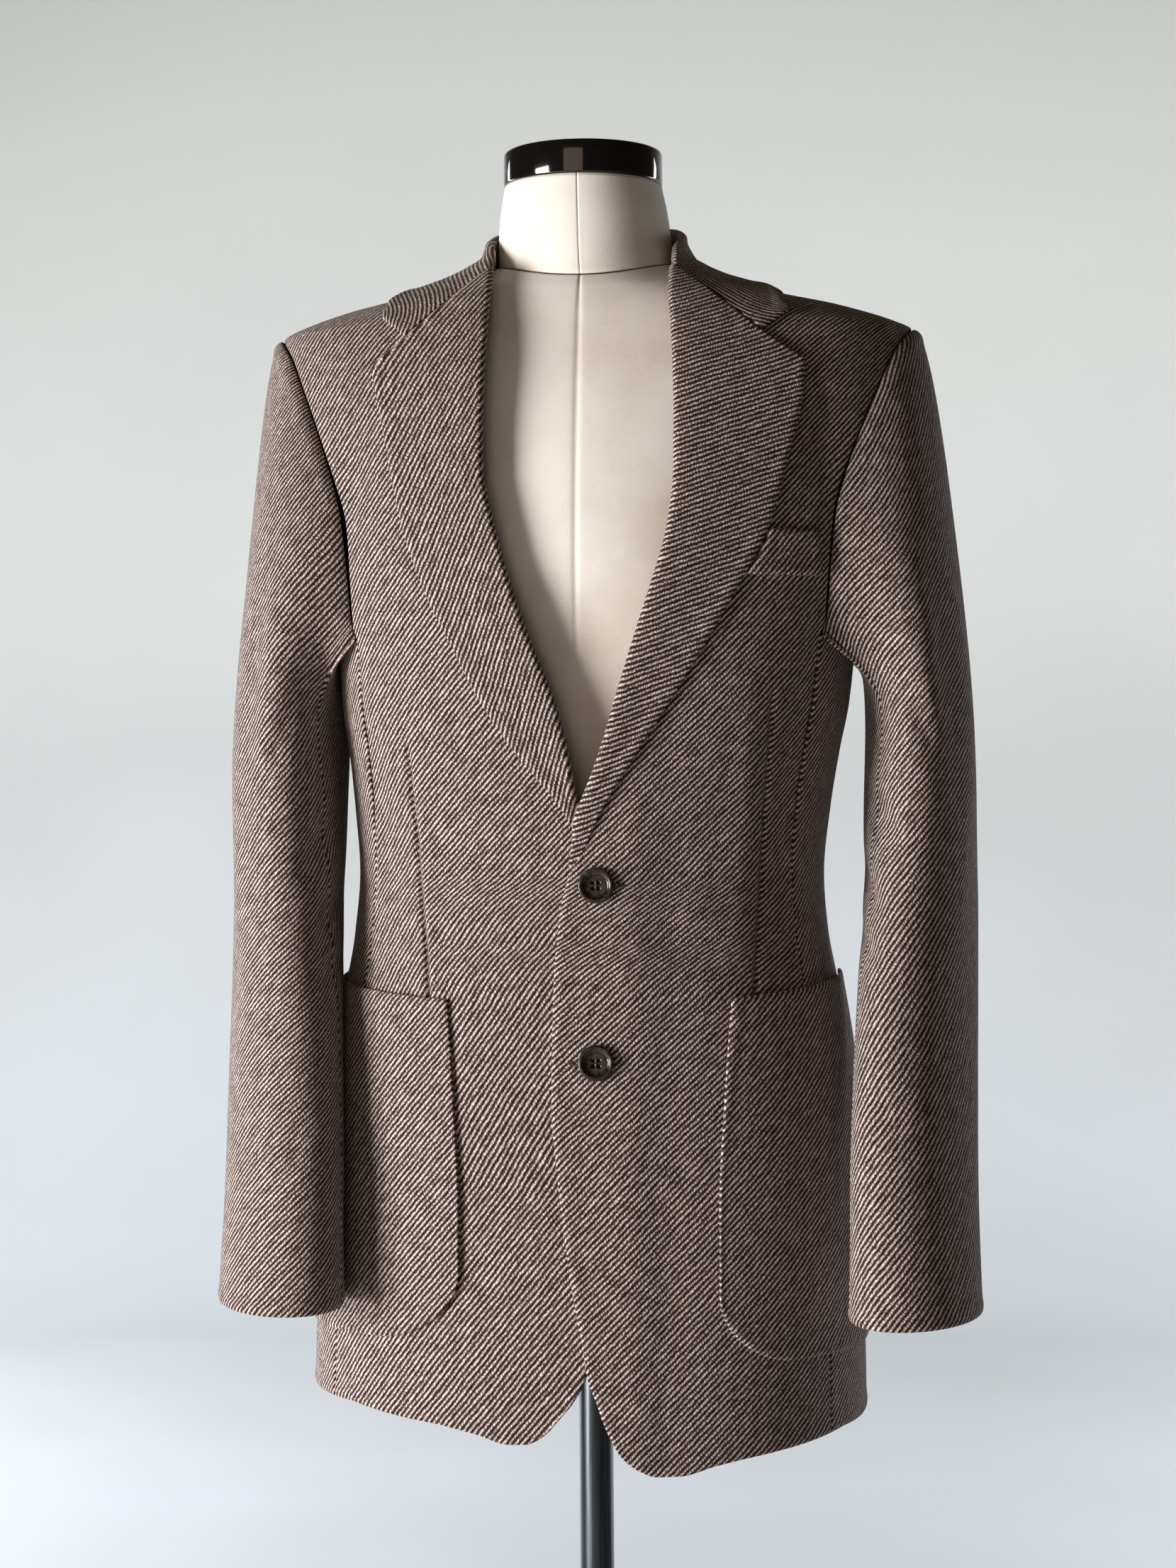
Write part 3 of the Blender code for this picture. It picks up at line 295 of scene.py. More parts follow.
# Its outer edge: place along, angle round from the centre front, height
COLLAR_EDGE = (
    (0.00, 180.0, 1.4400),
    (0.25, 158.0, 1.4395),
    (0.45, 134.0, 1.4392),
    (0.62, 112.0, 1.4400),
    (0.80, 90.0, 1.4392),
    (1.00, 57.0, 1.4310),
    (1.15, 42.0, 1.4225),
    (1.30, 36.0, 1.4140),
)
# Foot of the stand on the neckline: place along, |x|, y, height
STAND_FOOT = (
    (0.00, 0.0000, 0.0668, 1.4605),
    (0.25, 0.0355, 0.0585, 1.4605),
    (0.45, 0.0590, 0.0345, 1.4605),
    (0.62, 0.0640, 0.0030, 1.4605),
    (0.80, 0.0627, -0.0285, 1.4590),
)
STAND_CLOTH = 0.0020
STAND_GAP = 0.0004
# Length of one unit of the place along, stations on one side, and width and spacing of the rows
COLLAR_PLACE = 0.2
COLLAR_STATIONS = 84
COLLAR_ROWS = (0.058, 0.0026)
STAND_STATIONS = 50
STAND_ROWS = (0.028, 0.003)
# Place along at which the collar's gorge seam begins, and its length
GORGE_BEGINS = 1.0
GORGE_LENGTH = 0.3
# How far down the fall its curves bend, how much further in front, and where that changes
COLLAR_BEND = (0.25, 0.25)
COLLAR_BEND_AT = (0.8, 1.1)
# The collar's fold: distance of its centre inside the fall, radius inside and cloth at the end, as
# shares of the stand's cloth; drops of its tail below the centre; where and how much it shrinks
FOLD_CENTRE = 0.85
FOLD_INSIDE = 1.15
FOLD_THIN = 0.4
FOLD_TAIL = (0.0015, 0.0035, 0.0060)
FOLD_ENDS = (0.93, 1.02)
FOLD_SHRINKS = 0.94

# Sleeve rings below the armpit: height, |x| of the centre, y of the centre, half width,
# half depth, turn of the long axis towards the body in front (degrees)
SLEEVE_RINGS = (
    (1.165, 0.2045, -0.006, 0.0355, 0.0800, 0.0),
    (1.104, 0.2040, -0.014, 0.0360, 0.0740, 4.0),
    (1.050, 0.2035, -0.028, 0.0355, 0.0690, 10.0),
    (0.993, 0.2010, -0.051, 0.0350, 0.0640, 17.0),
    (0.938, 0.1985, -0.074, 0.0345, 0.0590, 23.0),
    (0.864, 0.1965, -0.096, 0.0350, 0.0550, 27.0),
    (0.797, 0.1965, -0.108, 0.0375, 0.0520, 28.0),
)
# How much further out the wearer's left sleeve hangs than the right one, halved
SLEEVE_SHIFT = 0.009
# Least distance of a sleeve from the body and from a pocket, and where one gives way to the other
SLEEVE_CLEAR_BODY = 0.0008
SLEEVE_CLEAR_POCKET = 0.0056
POCKET_REACH = (0.990, 1.030)
SLEEVE_SEAM_GAP = 0.0003
# Rise of the cuff towards its back, how much lower the left one hangs, halved, the height at which
# the slope begins, and the height of the cuff's edge
CUFF_SLOPE = 0.05
CUFF_DROP = 0.0035
CUFF_TOP = 0.90
SLEEVE_END = 0.797
# Rows above and below the first ring that are eased into one curve
EASED_ROWS = (16, 18)
# Columns round a sleeve, its seams as shares of the way round, and the close columns beside a
# seam, as distances on a sleeve of this radius
SLEEVE_AROUND = 120
SLEEVE_SEAMS = (46 / SLEEVE_AROUND, 77 / SLEEVE_AROUND)
SEAM_COLUMNS = (0.0, 0.0006, 0.0013, 0.0022, 0.0034)
SLEEVE_RADIUS = 0.07
# The sleeve head's curves: how far they stand out of the armhole, and how much more in front and
# behind; how far they rise above the first ring, and how much more outside; their lean inwards
HEAD_STAND = (0.010, 0.006)
HEAD_RISE = (0.020, 0.175)
HEAD_LEAN = 0.019
# The way in which they leave the armhole: outwards and upwards, each a mean and what it gains on the
# outer side, and forwards; and the power that keeps the rise and the lean to the outer side
HEAD_OUT = (0.72, 0.28)
HEAD_UP = (-0.38, 0.58)
HEAD_FORWARD = 0.55
HEAD_OUTER = 1.5
# Length of the head's curves, spacing of their rows and the power that brings them closer at the
# armhole; first and last height of the rows below and their number
HEAD_REACH = 0.20
HEAD_STEP = 0.0032
HEAD_CLOSER = 1.15
SLEEVE_ROWS = (1.162, SLEEVE_END + 0.0075, 112)
# Roping of the head: height of the ridge, distance from the armhole, half width; cosines of the
# turn between which it rises
ROPING = (0.0012, 0.007, 0.005)
ROPING_OUTSIDE = (-0.3, 0.6)

# Patch pockets: x of the line midway between them; height and distance from it of the front edge;
# angle of the back edge at the bottom and the mouth; height of the mouth in front and behind
POCKET_MID = 0.007
POCKET_FRONT = ((0.770, 0.0790), (0.860, 0.0790), (0.930, 0.0825), (1.000, 0.0875))
POCKET_BACK_ANGLE = (97.0, 93.0)
POCKET_TOP = (0.9880, 0.9985)
POCKET_BOTTOM = {1: 0.7660, -1: 0.7805}
# Width on which the corners are drawn and their radius, cloth, how far the middle stands off and
# the shares of the height over which it comes to that, and the grid: columns, height and spacing
# of the rows
POCKET_WIDTH = 0.150
POCKET_CORNER = 0.041
POCKET_CLOTH = 0.0024
POCKET_FULLNESS = 0.0010
POCKET_FULL = (0.3, 1.0)
POCKET_COLUMNS = 90
POCKET_ROWS = (0.22, 0.0036)

# Welt of the breast pocket: lower and upper height, outer x, gap beside the lapel, cloth, and the
# grid's width and spacing
WELT_HEIGHTS = (1.2480, 1.2765)
WELT_OUTER = 0.1500
WELT_BESIDE_LAPEL = 0.0012
WELT_CLOTH = 0.0025
WELT_WIDTH = 0.05
WELT_STEP = 0.0022

# Sections of the dress form: height in front, at the side, at the back, half width, front
# depth, back depth
FORM_SECTIONS = (
    (0.8000, 0.8000, 0.8000, 0.1450, 0.1120, 0.1070),
    (0.8600, 0.8600, 0.8600, 0.1520, 0.1170, 0.1130),
    (0.9300, 0.9300, 0.9300, 0.1500, 0.1130, 0.1080),
    (1.0000, 1.0000, 1.0000, 0.1420, 0.1060, 0.0990),
    (1.0600, 1.0600, 1.0600, 0.1370, 0.1010, 0.0940),
    (1.1200, 1.1200, 1.1200, 0.1400, 0.1050, 0.0970),
    (1.1800, 1.1800, 1.1800, 0.1465, 0.1120, 0.1020),
    (1.2450, 1.2450, 1.2450, 0.1500, 0.1130, 0.1040),
    (1.3050, 1.3050, 1.3050, 0.1540, 0.1060, 0.1010),
    (1.3450, 1.3500, 1.3500, 0.1600, 0.0965, 0.0940),
    (1.3700, 1.3820, 1.3820, 0.1640, 0.0885, 0.0850),
    (1.3920, 1.4050, 1.4040, 0.1590, 0.0805, 0.0785),
    (1.4080, 1.4190, 1.4180, 0.1470, 0.0745, 0.0730),
    (1.4210, 1.4296, 1.4296, 0.1300, 0.0695, 0.0675),
    (1.4310, 1.4364, 1.4374, 0.1080, 0.0650, 0.0635),
    (1.4370, 1.4420, 1.4444, 0.0905, 0.0620, 0.0610),
    (1.4405, 1.4480, 1.4510, 0.0740, 0.0598, 0.0600),
    (1.4430, 1.4555, 1.4580, 0.0590, 0.0582, 0.0590),
)
FORM_SQUARENESS = 2.2
TORSO_RINGS = 150
NECK_RINGS = 30
# Seams of the form: turns from the wearer's left round by the back, close turns beside each (in
# degrees), radius on which their width is measured, half width and depth; then the same at the neck
FORM_SEAMS = (90, 180, 270)
FORM_SEAM_TURNS = (-1.6, -0.9, -0.5, -0.25, 0.0, 0.25, 0.5, 0.9, 1.6)
FORM_RADIUS = 0.1
FORM_SEAM_WIDTH = 0.0007
FORM_SEAM_DEPTH = 0.0007
NECK_SEAM_WIDTH = 0.0022
NECK_SEAM_DEPTH = 0.0004
# Neck of the form: height in front, at the side, at the back, radius, centre across
NECK_SECTIONS = (
    (1.4436, 1.4561, 1.4586, 0.0576, 0.0000),
    (1.4640, 1.4700, 1.4740, 0.0565, -0.0010),
    (1.4860, 1.4870, 1.4880, 0.0550, -0.0015),
    (1.5090, 1.5090, 1.5090, 0.0512, -0.0020),
)

# Creases fade out over these heights at the cuff and under the pockets, and over these distances
# from the line of the buttons and from the centre back seam; this share of them is left on and
# under the pockets
CUFF_CALM = (0.83, 0.86)
POCKET_CALM = (0.96, 0.99)
BUTTON_CALM = (0.016, 0.030)
CENTRE_CALM = (0.001, 0.012)
POCKET_CREASES = 0.3
# A crease fades over this share of its length at each end, down to this share of its depth
CREASE_ENDS = 0.35
CREASE_LEFT = 0.25
# Soft creases of the body: side of the body (-1 front, 1 back), x and height of one end, x and
# height of the other, half width, depth (a ridge where it is negative)
BODY_CREASES = (
    (-1, -0.148, 1.200, -0.120, 1.060, 0.0110, 0.0032),
    (-1, -0.136, 1.215, -0.134, 1.030, 0.0090, -0.0017),
    (-1, 0.150, 1.205, 0.128, 1.070, 0.0110, 0.0035),
    (-1, 0.139, 1.220, 0.141, 1.050, 0.0085, -0.0017),
    (-1, -0.100, 1.160, -0.094, 1.000, 0.0080, -0.0012),
    (-1, 0.108, 1.190, 0.100, 1.010, 0.0090, -0.0014),
    (-1, -0.028, 1.062, -0.115, 1.098, 0.0120, 0.0017),
    (-1, 0.034, 1.060, 0.112, 1.104, 0.0130, 0.0019),
    (-1, -0.024, 1.040, -0.092, 1.018, 0.0110, 0.0014),
    (-1, 0.030, 1.038, 0.098, 1.008, 0.0120, 0.0014),
    (-1, -0.050, 0.940, -0.058, 0.760, 0.0160, 0.0023),
    (-1, 0.046, 0.930, 0.052, 0.750, 0.0180, 0.0023),
    (-1, -0.138, 1.360, -0.150, 1.250, 0.0120, 0.0029),
    (-1, 0.152, 1.365, 0.156, 1.290, 0.0120, 0.0029),
    (1, -0.100, 1.330, -0.112, 1.140, 0.0140, 0.0041),
    (1, 0.104, 1.320, 0.114, 1.120, 0.0130, 0.0038),
    (1, -0.128, 1.300, -0.132, 1.160, 0.0110, -0.0020),
    (1, 0.130, 1.290, 0.136, 1.150, 0.0120, -0.0020),
    (1, -0.070, 1.100, 0.010, 1.084, 0.0140, 0.0026),
    (1, 0.078, 1.092, 0.004, 1.070, 0.0130, 0.0023),
    (1, -0.040, 1.030, -0.056, 0.780, 0.0180, 0.0038),
    (1, 0.046, 1.020, 0.058, 0.790, 0.0170, 0.0035),
    (1, -0.100, 0.980, -0.112, 0.760, 0.0160, 0.0029),
    (1, 0.106, 0.990, 0.110, 0.770, 0.0170, 0.0029),
)
# Soft creases of the sleeves: turn round the sleeve (0 outside, 90 front, 180 inside, 270 back)
# and height of one end, turn and height of the other, half width, depth
SLEEVE_CREASES = {
    1: (
        (110, 1.190, 70, 1.130, 0.0110, 0.0032),
        (150, 1.110, 96, 1.080, 0.0120, 0.0038),
        (172, 1.070, 112, 1.036, 0.0110, 0.0035),
        (165, 1.030, 105, 1.010, 0.0100, 0.0026),
        (60, 1.300, 52, 1.120, 0.0150, 0.0029),
        (30, 1.240, 34, 1.000, 0.0160, -0.0023),
        (270, 1.080, 225, 1.050, 0.0120, 0.0032),
        (285, 1.010, 240, 0.990, 0.0110, 0.0023),
        (100, 0.930, 60, 0.900, 0.0120, 0.0020),
        (300, 1.250, 296, 1.110, 0.0150, 0.0032),
    ),
    -1: (
        (116, 1.180, 76, 1.120, 0.0110, 0.0032),
        (158, 1.100, 98, 1.066, 0.0120, 0.0038),
        (170, 1.056, 108, 1.020, 0.0110, 0.0035),
        (160, 1.012, 100, 0.996, 0.0100, 0.0026),
        (64, 1.290, 56, 1.110, 0.0150, 0.0032),
        (26, 1.220, 30, 0.980, 0.0160, -0.0023),
        (266, 1.070, 222, 1.038, 0.0120, 0.0032),
        (288, 1.000, 244, 0.976, 0.0110, 0.0023),
        (96, 0.915, 58, 0.888, 0.0120, 0.0020),
        (304, 1.240, 298, 1.100, 0.0150, 0.0029),
    ),
}

# Radius on which a sleeve's creases are placed
CREASE_RADIUS = 0.055

# Grids: spacing of points on the cloth, the close rows beside a border, width and height of the
# panels below the armpit, rows above it and the power that brings them closer at the shoulder, rows
# and points of the armhole's line, and width, height, spacing, first share across and roll of a
# lapel
STEP = 0.0034
EDGE_STEPS = (0.0, 0.0004, 0.0010, 0.0018, 0.0028, 0.0042)
PANEL_REACH = (0.20, 0.49)
SIDE_REACH = (0.12, 0.48)
YOKE_ROWS = 60
YOKE_CLOSER = 2.2
ARMHOLE_ROWS = 40
UNDERARM_POINTS = 24
LAPEL_REACH = (0.085, 0.35)
LAPEL_STEP = 0.0032
LAPEL_BEGINS = 0.03
ROLL_STEPS = 12
# Groove at a seam; swelling where an edge is turned in, the distance of its top from the edge and
# its spread as a share of that
SEAM_WIDTH = 0.0022
SEAM_DEPTH = 0.0009
EDGE_BULGE = 0.0006
EDGE_BULGE_WIDTH = 0.0045
EDGE_BULGE_SPREAD = 0.7
# Share of the thickness over which an edge rounds off, and how near the two faces come there
EDGE_ROUND = 0.9
EDGE_MEETS = 0.98
# A dart's groove, how much cloth it takes up, its share of the way across the front, and the close
# columns beside it as distances on a front of the width given
DART_WIDTH = 0.0015
DART_DEPTH = 0.0024
DART_TAKE = 0.009
DART_AT = 0.55
DART_COLUMNS = (-0.0040, -0.0024, -0.0014, -0.0007, 0.0, 0.0007, 0.0014, 0.0024, 0.0040)
DART_SPAN = 0.16

# Twill: distance between its ridges and between the yarn's turns along a ridge
TWILL_PITCH = 0.0029
YARN_TURN = 0.0020
# Angle of the ridges from the level on each piece's flat cut, in degrees
TWILL_BODY = {1: 44.0, -1: 48.0}
TWILL_WELT = 48.0
TWILL_SLEEVE = {1: 46.0, -1: 49.0}
TWILL_LAPEL = {1: 20.0, -1: 57.0}
# Lean of the lapels' grain from upright, at the foot and at the gorge, in degrees
LAPEL_LEAN = {1: (0.0, 0.0), -1: (18.0, 2.0)}
TWILL_COLLAR = {1: 41.0, -1: 16.0}

# Distance between two threads of the canvas
CANVAS_THREAD = 0.00035

# Camera: focal length, the frame's height and its sideways shift, all in one unit, the height of
# the sensor in millimetres, and the roll in degrees
FOCAL_LENGTH = 4324
FRAME_HEIGHT = 2212
FRAME_SHIFT = -4.5
SENSOR = 36.0
CAMERA_ROLL = 0.46
# Area lights: name, place, target, width and height, share of the window's power, colour
LIGHTS = (
    ("window", (-2.0, -1.34, 0.88), (0.0, 0.0, 1.0), (0.9, 1.1), 1.0, "fffbf8"),
    ("fill", (-0.5, -2.9, 1.3), (0.0, 0.0, 1.1), (1.4, 1.8), 0.08, "ffe2cc"),
    ("wall_light_1", (-3.0, 2.3, 1.15), (0.75, 5.0, -0.5), (1.6, 2.0), 1.09, "f8f9ff"),
    ("wall_light_2", (3.0, 2.3, 1.15), (-0.75, 5.0, -0.5), (1.6, 2.0), 0.91, "f8f9ff"),
)
WORLD_COLOUR = "e8d3bb"
WORLD_STRENGTH = 0.055
# Backdrop: front edge, foot of the sweep, the sweep's radius, height of the wall, half width, and
# how far it lies below the base
BACKDROP_FRONT = -6.0
SWEEP_FOOT = 4.2
SWEEP_RADIUS = 1.6
WALL_HEIGHT = 7.0
BACKDROP_SIDE = 9.0
BELOW_BASE = 0.0005


# --- settings

class JacketCloth(bpy.types.PropertyGroup):
    """Colours of the tweed and the buttons."""
    # the light yarn's colour, which also lies on the crests of the ridges as painted light
    light_yarn_and_crest_light: bpy.props.StringProperty(
        name="Light yarn", description="sRGB hex colour of the light yarn", default="e4d7d5")
    mid_yarn: bpy.props.StringProperty(
        name="Middle yarn", description="sRGB hex colour between the two yarns", default="66534d")
    # the dark yarn's colour, which also fills the valleys between the ridges as painted shade
    dark_yarn_and_valley_shade: bpy.props.StringProperty(
        name="Dark yarn", description="sRGB hex colour of the dark yarn", default="140907")
    horn: bpy.props.StringProperty(
        name="Horn", description="sRGB hex colour of the buttons", default="211815")
    pitch: bpy.props.FloatProperty(
        name="Twill pitch", description="Distance between two ridges of the twill",
        default=TWILL_PITCH, unit="LENGTH")
    relief: bpy.props.FloatProperty(
        name="Twill relief", description="Height of the twill's ridges",
        default=0.0006, unit="LENGTH")


class FormFinish(bpy.types.PropertyGroup):
    """Colours of the dress form."""
    canvas: bpy.props.StringProperty(
        name="Canvas", description="sRGB hex colour of the canvas", default="f1ede3")
    lacquer: bpy.props.StringProperty(
        name="Lacquer", description="sRGB hex colour of the neck cap", default="0c0b0b")
    steel: bpy.props.StringProperty(
        name="Steel", description="sRGB hex colour of the pole and base", default="565b60")


class StageLook(bpy.types.PropertyGroup):
    """Camera and light."""
    azimuth: bpy.props.FloatProperty(
        name="Camera azimuth", description="Turn of the camera round the form, towards +X",
        default=math.radians(4.5), subtype="ANGLE")
    distance: bpy.props.FloatProperty(
        name="Camera distance", description="Distance of the camera from the pole",
        default=2.0, unit="LENGTH")
    eye: bpy.props.FloatProperty(
        name="Eye height", description="Height of the camera", default=1.12, unit="LENGTH")
    key: bpy.props.FloatProperty(
        name="Window light", description="Power of the large soft light", default=98.0,
        subtype="POWER")
    # the upper wall, wall and floor colours differ in brightness as painted light on the backdrop
    top: bpy.props.StringProperty(
        name="Upper wall", description="sRGB hex colour of the wall's upper part",
        default="e9ebe4")
    wall: bpy.props.StringProperty(
        name="Wall", description="sRGB hex colour of the wall's middle", default="d4d6d3")
    floor: bpy.props.StringProperty(
        name="Floor", description="sRGB hex colour of the floor and the wall's foot",
        default="eef6fb")


# --- interpolation and grids

def column(table, index):
    """One column of a table of rows as an array."""
    return np.array([row[index] for row in table], dtype=float)


def smooth(table, index, at):
    """A column interpolated at the first column's values by cubics with limited tangents."""
    keys = column(table, 0)
    values = column(table, index)
    at = np.clip(np.asarray(at, dtype=float), keys[0], keys[-1])
    step = np.diff(keys)
    slope = np.diff(values) / step
    tangent = np.empty_like(values)
    tangent[0] = slope[0]
    tangent[-1] = slope[-1]
    same_way = slope[:-1] * slope[1:] > 0
    mean = 2 * slope[:-1] * slope[1:] / np.where(same_way, slope[:-1] + slope[1:], 1)
    tangent[1:-1] = np.where(same_way, mean, 0)
    place = np.clip(np.searchsorted(keys, at, side="right") - 1, 0, len(keys) - 2)
    share = (at - keys[place]) / step[place]
    rest = 1 - share
    return (values[place] * rest * rest * (1 + 2 * share)
            + values[place + 1] * share * share * (3 - 2 * share)
            + step[place] * share * rest * (tangent[place] * rest - tangent[place + 1] * share))


def fade(value, low, high):
    """0 below low, 1 above high and 3s^2 - 2s^3 of the share s between them."""
    share = np.clip((value - low) / (high - low), 0, 1)
    return share * share * (3 - 2 * share)


def unit(vectors):
    """Vectors at length one."""
    return vectors / np.maximum(np.linalg.norm(vectors, axis=-1, keepdims=True), 1e-12)


def dot(a, b):
    """Scalar products of two arrays of vectors."""
    return np.sum(a * b, axis=-1)


def grid_normals(grid, wraps=False):
    """Normals of a grid: the cross product of its step across and its step up."""
    if wraps:
        along = np.roll(grid, -1, axis=1) - np.roll(grid, 1, axis=1)
    else:
        along = np.gradient(grid, axis=1)
    return unit(np.cross(along, np.gradient(grid, axis=0)))


def spread(length, step=STEP):
    """Shares from 0 to 1 along a length: even steps, with close ones beside both ends."""
    near = np.array(EDGE_STEPS) / length
    count = max(int(length / step), 3)
    middle = np.linspace(near[-1], 1 - near[-1], count + 2)[1:-1]
    return np.concatenate([near, middle, 1 - near[::-1]])


def spread_up(length, step=STEP):
    """Shares from 0 to 1 along a length: even steps, with close ones beside the first end."""
    near = np.array(EDGE_STEPS) / length
    return np.concatenate([near, np.linspace(near[-1], 1, max(int(length / step), 3) + 1)[1:]])


def borders(grid):
    """Distance of every point along the surface from the borders of its grid."""
    across = np.linalg.norm(np.diff(grid, axis=1), axis=-1)
    up = np.linalg.norm(np.diff(grid, axis=0), axis=-1)
    across = np.concatenate([0 * across[:, :1], np.cumsum(across, axis=1)], axis=1)
    up = np.concatenate([0 * up[:1], np.cumsum(up, axis=0)], axis=0)
    return {"first_column": across, "last_column": across[:, -1:] - across,
            "first_row": up, "last_row": up[-1:] - up}


def travelled(grid, ways, axis):
    """Distance gone along a field of directions, from the first row or column to every point."""
    grid = grid.swapaxes(0, axis)
    ways = ways.swapaxes(0, axis)
    part = dot(np.diff(grid, axis=0), ways[:-1] + ways[1:]) / 2
    return np.concatenate([0 * part[:1], np.cumsum(part, axis=0)]).swapaxes(0, axis)


def lay_flat(grid, normals, reference, up):
    """Flat coordinates of a grid: steps between its points, measured along the level tangent
    (up x normal) and along the one square to it, summed up the reference column and then along
    each row."""
    level = unit(np.cross(np.broadcast_to(up, grid.shape), normals))
    flat = []
    for ways in (level, np.cross(normals, level)):
        across = travelled(grid, ways, 1)
        upwards = travelled(grid, ways, 0)
        middle = slice(reference, reference + 1)
        flat.append(upwards[:, middle] + across - across[:, middle])
    return np.stack(flat, axis=-1)


def lay_flat_in_two(grid, normals, reference, row, beyond, up=(0, 0, 1)):
    """Flat coordinates taken row by row, but column by column beyond a row of the grid, so that
    the grain runs on straight to a shoulder or an armhole."""
    up = np.broadcast_to(up, grid.shape)
    flat = lay_flat(grid, normals, reference, up)
    columns = lay_flat(grid.swapaxes(0, 1), normals.swapaxes(0, 1), row, up.swapaxes(0, 1))
    columns = columns.swapaxes(0, 1)
    flat[beyond] = columns[beyond] - columns[row] + flat[row]
    return flat


def along_ridges(flat, degrees):
    """Flat coordinates turned so that the first runs along the twill's ridges."""
    turn = np.radians(degrees)
    return np.stack([flat[..., 0] * np.cos(turn) + flat[..., 1] * np.sin(turn),
                     flat[..., 1] * np.cos(turn) - flat[..., 0] * np.sin(turn)], axis=-1)


def creased(across, up, table):
    """Depth of soft creases at flat places: each is depth * exp(-(d / half width)^2), d being the
    distance from its segment, and it fades out towards the segment's ends."""
    total = np.zeros_like(across)
    for x0, z0, x1, z1, half_width, depth in table:
        length = math.hypot(x1 - x0, z1 - z0)
        way_x = (x1 - x0) / length
        way_z = (z1 - z0) / length
        along = (across - x0) * way_x + (up - z0) * way_z
        off = np.abs((up - z0) * way_x - (across - x0) * way_z)
        beyond = np.maximum(np.maximum(-along, along - length), 0)
        ends = np.clip(np.minimum(along, length - along) / (CREASE_ENDS * length), 0, 1)
        strength = CREASE_LEFT + (1 - CREASE_LEFT) * ends
        strength = strength * np.exp(-(beyond / half_width) ** 2)
        total += depth * strength * np.exp(-(off / half_width) ** 2)
    return total


# --- the jacket's outer face

def body_size(height, side):
    """Half width, front depth and back depth at a height on one side (+1 is wearer's left)."""
    lean = smooth(BODY_SECTIONS, 4, height)
    half_width = smooth(BODY_SECTIONS, 1, height) * (1 + lean * side)
    return half_width, smooth(BODY_SECTIONS, 2, height), smooth(BODY_SECTIONS, 3, height)


def body_point(angle, height):
    """Superellipse point (w sin^p, -d cos^p) at an angle in radians from the centre front."""
    angle = np.asarray(angle, dtype=float)
    half_width, front, back = body_size(height, np.sign(angle))
    power = 2 / SQUARENESS
    across = np.sin(angle)
    deep = np.cos(angle)
    x = half_width * np.sign(across) * np.abs(across) ** power
    y = -np.where(deep > 0, front, back) * np.sign(deep) * np.abs(deep) ** power
    return np.stack(np.broadcast_arrays(x, y, height), axis=-1)


def body_angle(x, height):
    """Angle on the front half at which the outer face has a given x."""
    half_width = body_size(height, np.sign(x))[0]
    share = np.clip(np.abs(x) / half_width, 0, 0.99999)
    return np.sign(x) * np.arcsin(share ** (SQUARENESS / 2))


def front_point(x, height):
    """Point of the front half of the outer face."""
    return body_point(body_angle(x, height), height)


def body_field(points):
    """(|x/w|^n + |y/d|^n)^(1/n) - 1: negative inside the jacket's outer face."""
    half_width, front, back = body_size(points[..., 2], np.sign(points[..., 0]))
    depth = np.where(points[..., 1] < 0, front, back)
    value = (np.abs(points[..., 0]) / half_width) ** SQUARENESS
    value = value + (np.abs(points[..., 1]) / depth) ** SQUARENESS
    return value ** (1 / SQUARENESS) - 1


def field_gradient(points):
    """Gradient of body_field by small steps."""
    step = 1e-5
    parts = []
    for axis in range(3):
        move = np.zeros(3)
        move[axis] = step
        parts.append((body_field(points + move) - body_field(points - move)) / (2 * step))
    return np.stack(parts, axis=-1)


def body_normal(points):
    """Outward normal of the outer face at points."""
    return unit(field_gradient(points))


def rest_on_body(points, lift):
    """Points pushed out of the body until they stand at least lift above its face."""
    for _ in range(4):
        gradient = field_gradient(points)
        steep = np.maximum(np.linalg.norm(gradient, axis=-1), 1e-6)
        missing = np.maximum(lift - body_field(points) / steep, 0)
        points = points + (missing / steep)[..., None] * gradient
    return points


def ridge_height(x, side):
    """Height of the shoulder line at |x|."""
    heights = np.linspace(SHOULDER_TIP, NECK_SEAM, 400)
    widths = body_size(heights, side)[0]
    return np.interp(np.abs(x), widths[::-1], heights[::-1])


def front_lift(side, x, height):
    """How far the wearer's left front stands out where it laps over the right one."""
    if side < 0:
        return np.zeros_like(x)
    lap = 1 - fade(x, *LAP_ACROSS)
    return (CLOTH + LAY_GAP) * lap * (1 - fade(height, *LAP_UP))


def hem_height(angle):
    """Height of the hem at an angle round the body; the wearer's left side hangs lower."""
    in_front = np.abs(angle) < math.pi / 2
    x = body_point(angle, HEM + 0 * angle)[..., 0]
    drop = np.where(in_front, smooth(HEM_DROP, 1, np.abs(x - PARTING_X)), 0)
    return HEM - HEM_TILT * np.where(in_front, np.sign(angle), np.sin(angle)) - drop


def body_creases(points, face):
    """Depth of the body's creases at points of its front (-1) or back (1) half."""
    table = [row[1:] for row in BODY_CREASES if row[0] == face]
    return creased(points[..., 0], points[..., 2], table)


# --- meshes

def fill_mesh(name, points, quads, material, flat=None):
    """A smooth object from points and quads, with flat coordinates as its UV map in metres."""
    mesh = bpy.data.meshes.new(name)
    mesh.vertices.add(len(points))
    mesh.vertices.foreach_set("co", np.ascontiguousarray(points, dtype=np.float32).ravel())
    quads = np.ascontiguousarray(quads, dtype=np.int32)
    mesh.loops.add(quads.size)
    mesh.loops.foreach_set("vertex_index", quads.ravel())
    mesh.polygons.add(len(quads))
    mesh.polygons.foreach_set("loop_start", np.arange(0, quads.size, 4, dtype=np.int32))
    if flat is not None:
        layer = mesh.uv_layers.new(name="flat_cut")
        layer.data.foreach_set("uv", flat[quads.ravel()].astype(np.float32).ravel())
    mesh.update(calc_edges=True)
    mesh.validate()
    mesh.shade_smooth()
    mesh.materials.append(material)
    made = bpy.data.objects.new(name, mesh)
    bpy.context.scene.collection.objects.link(made)
    return made


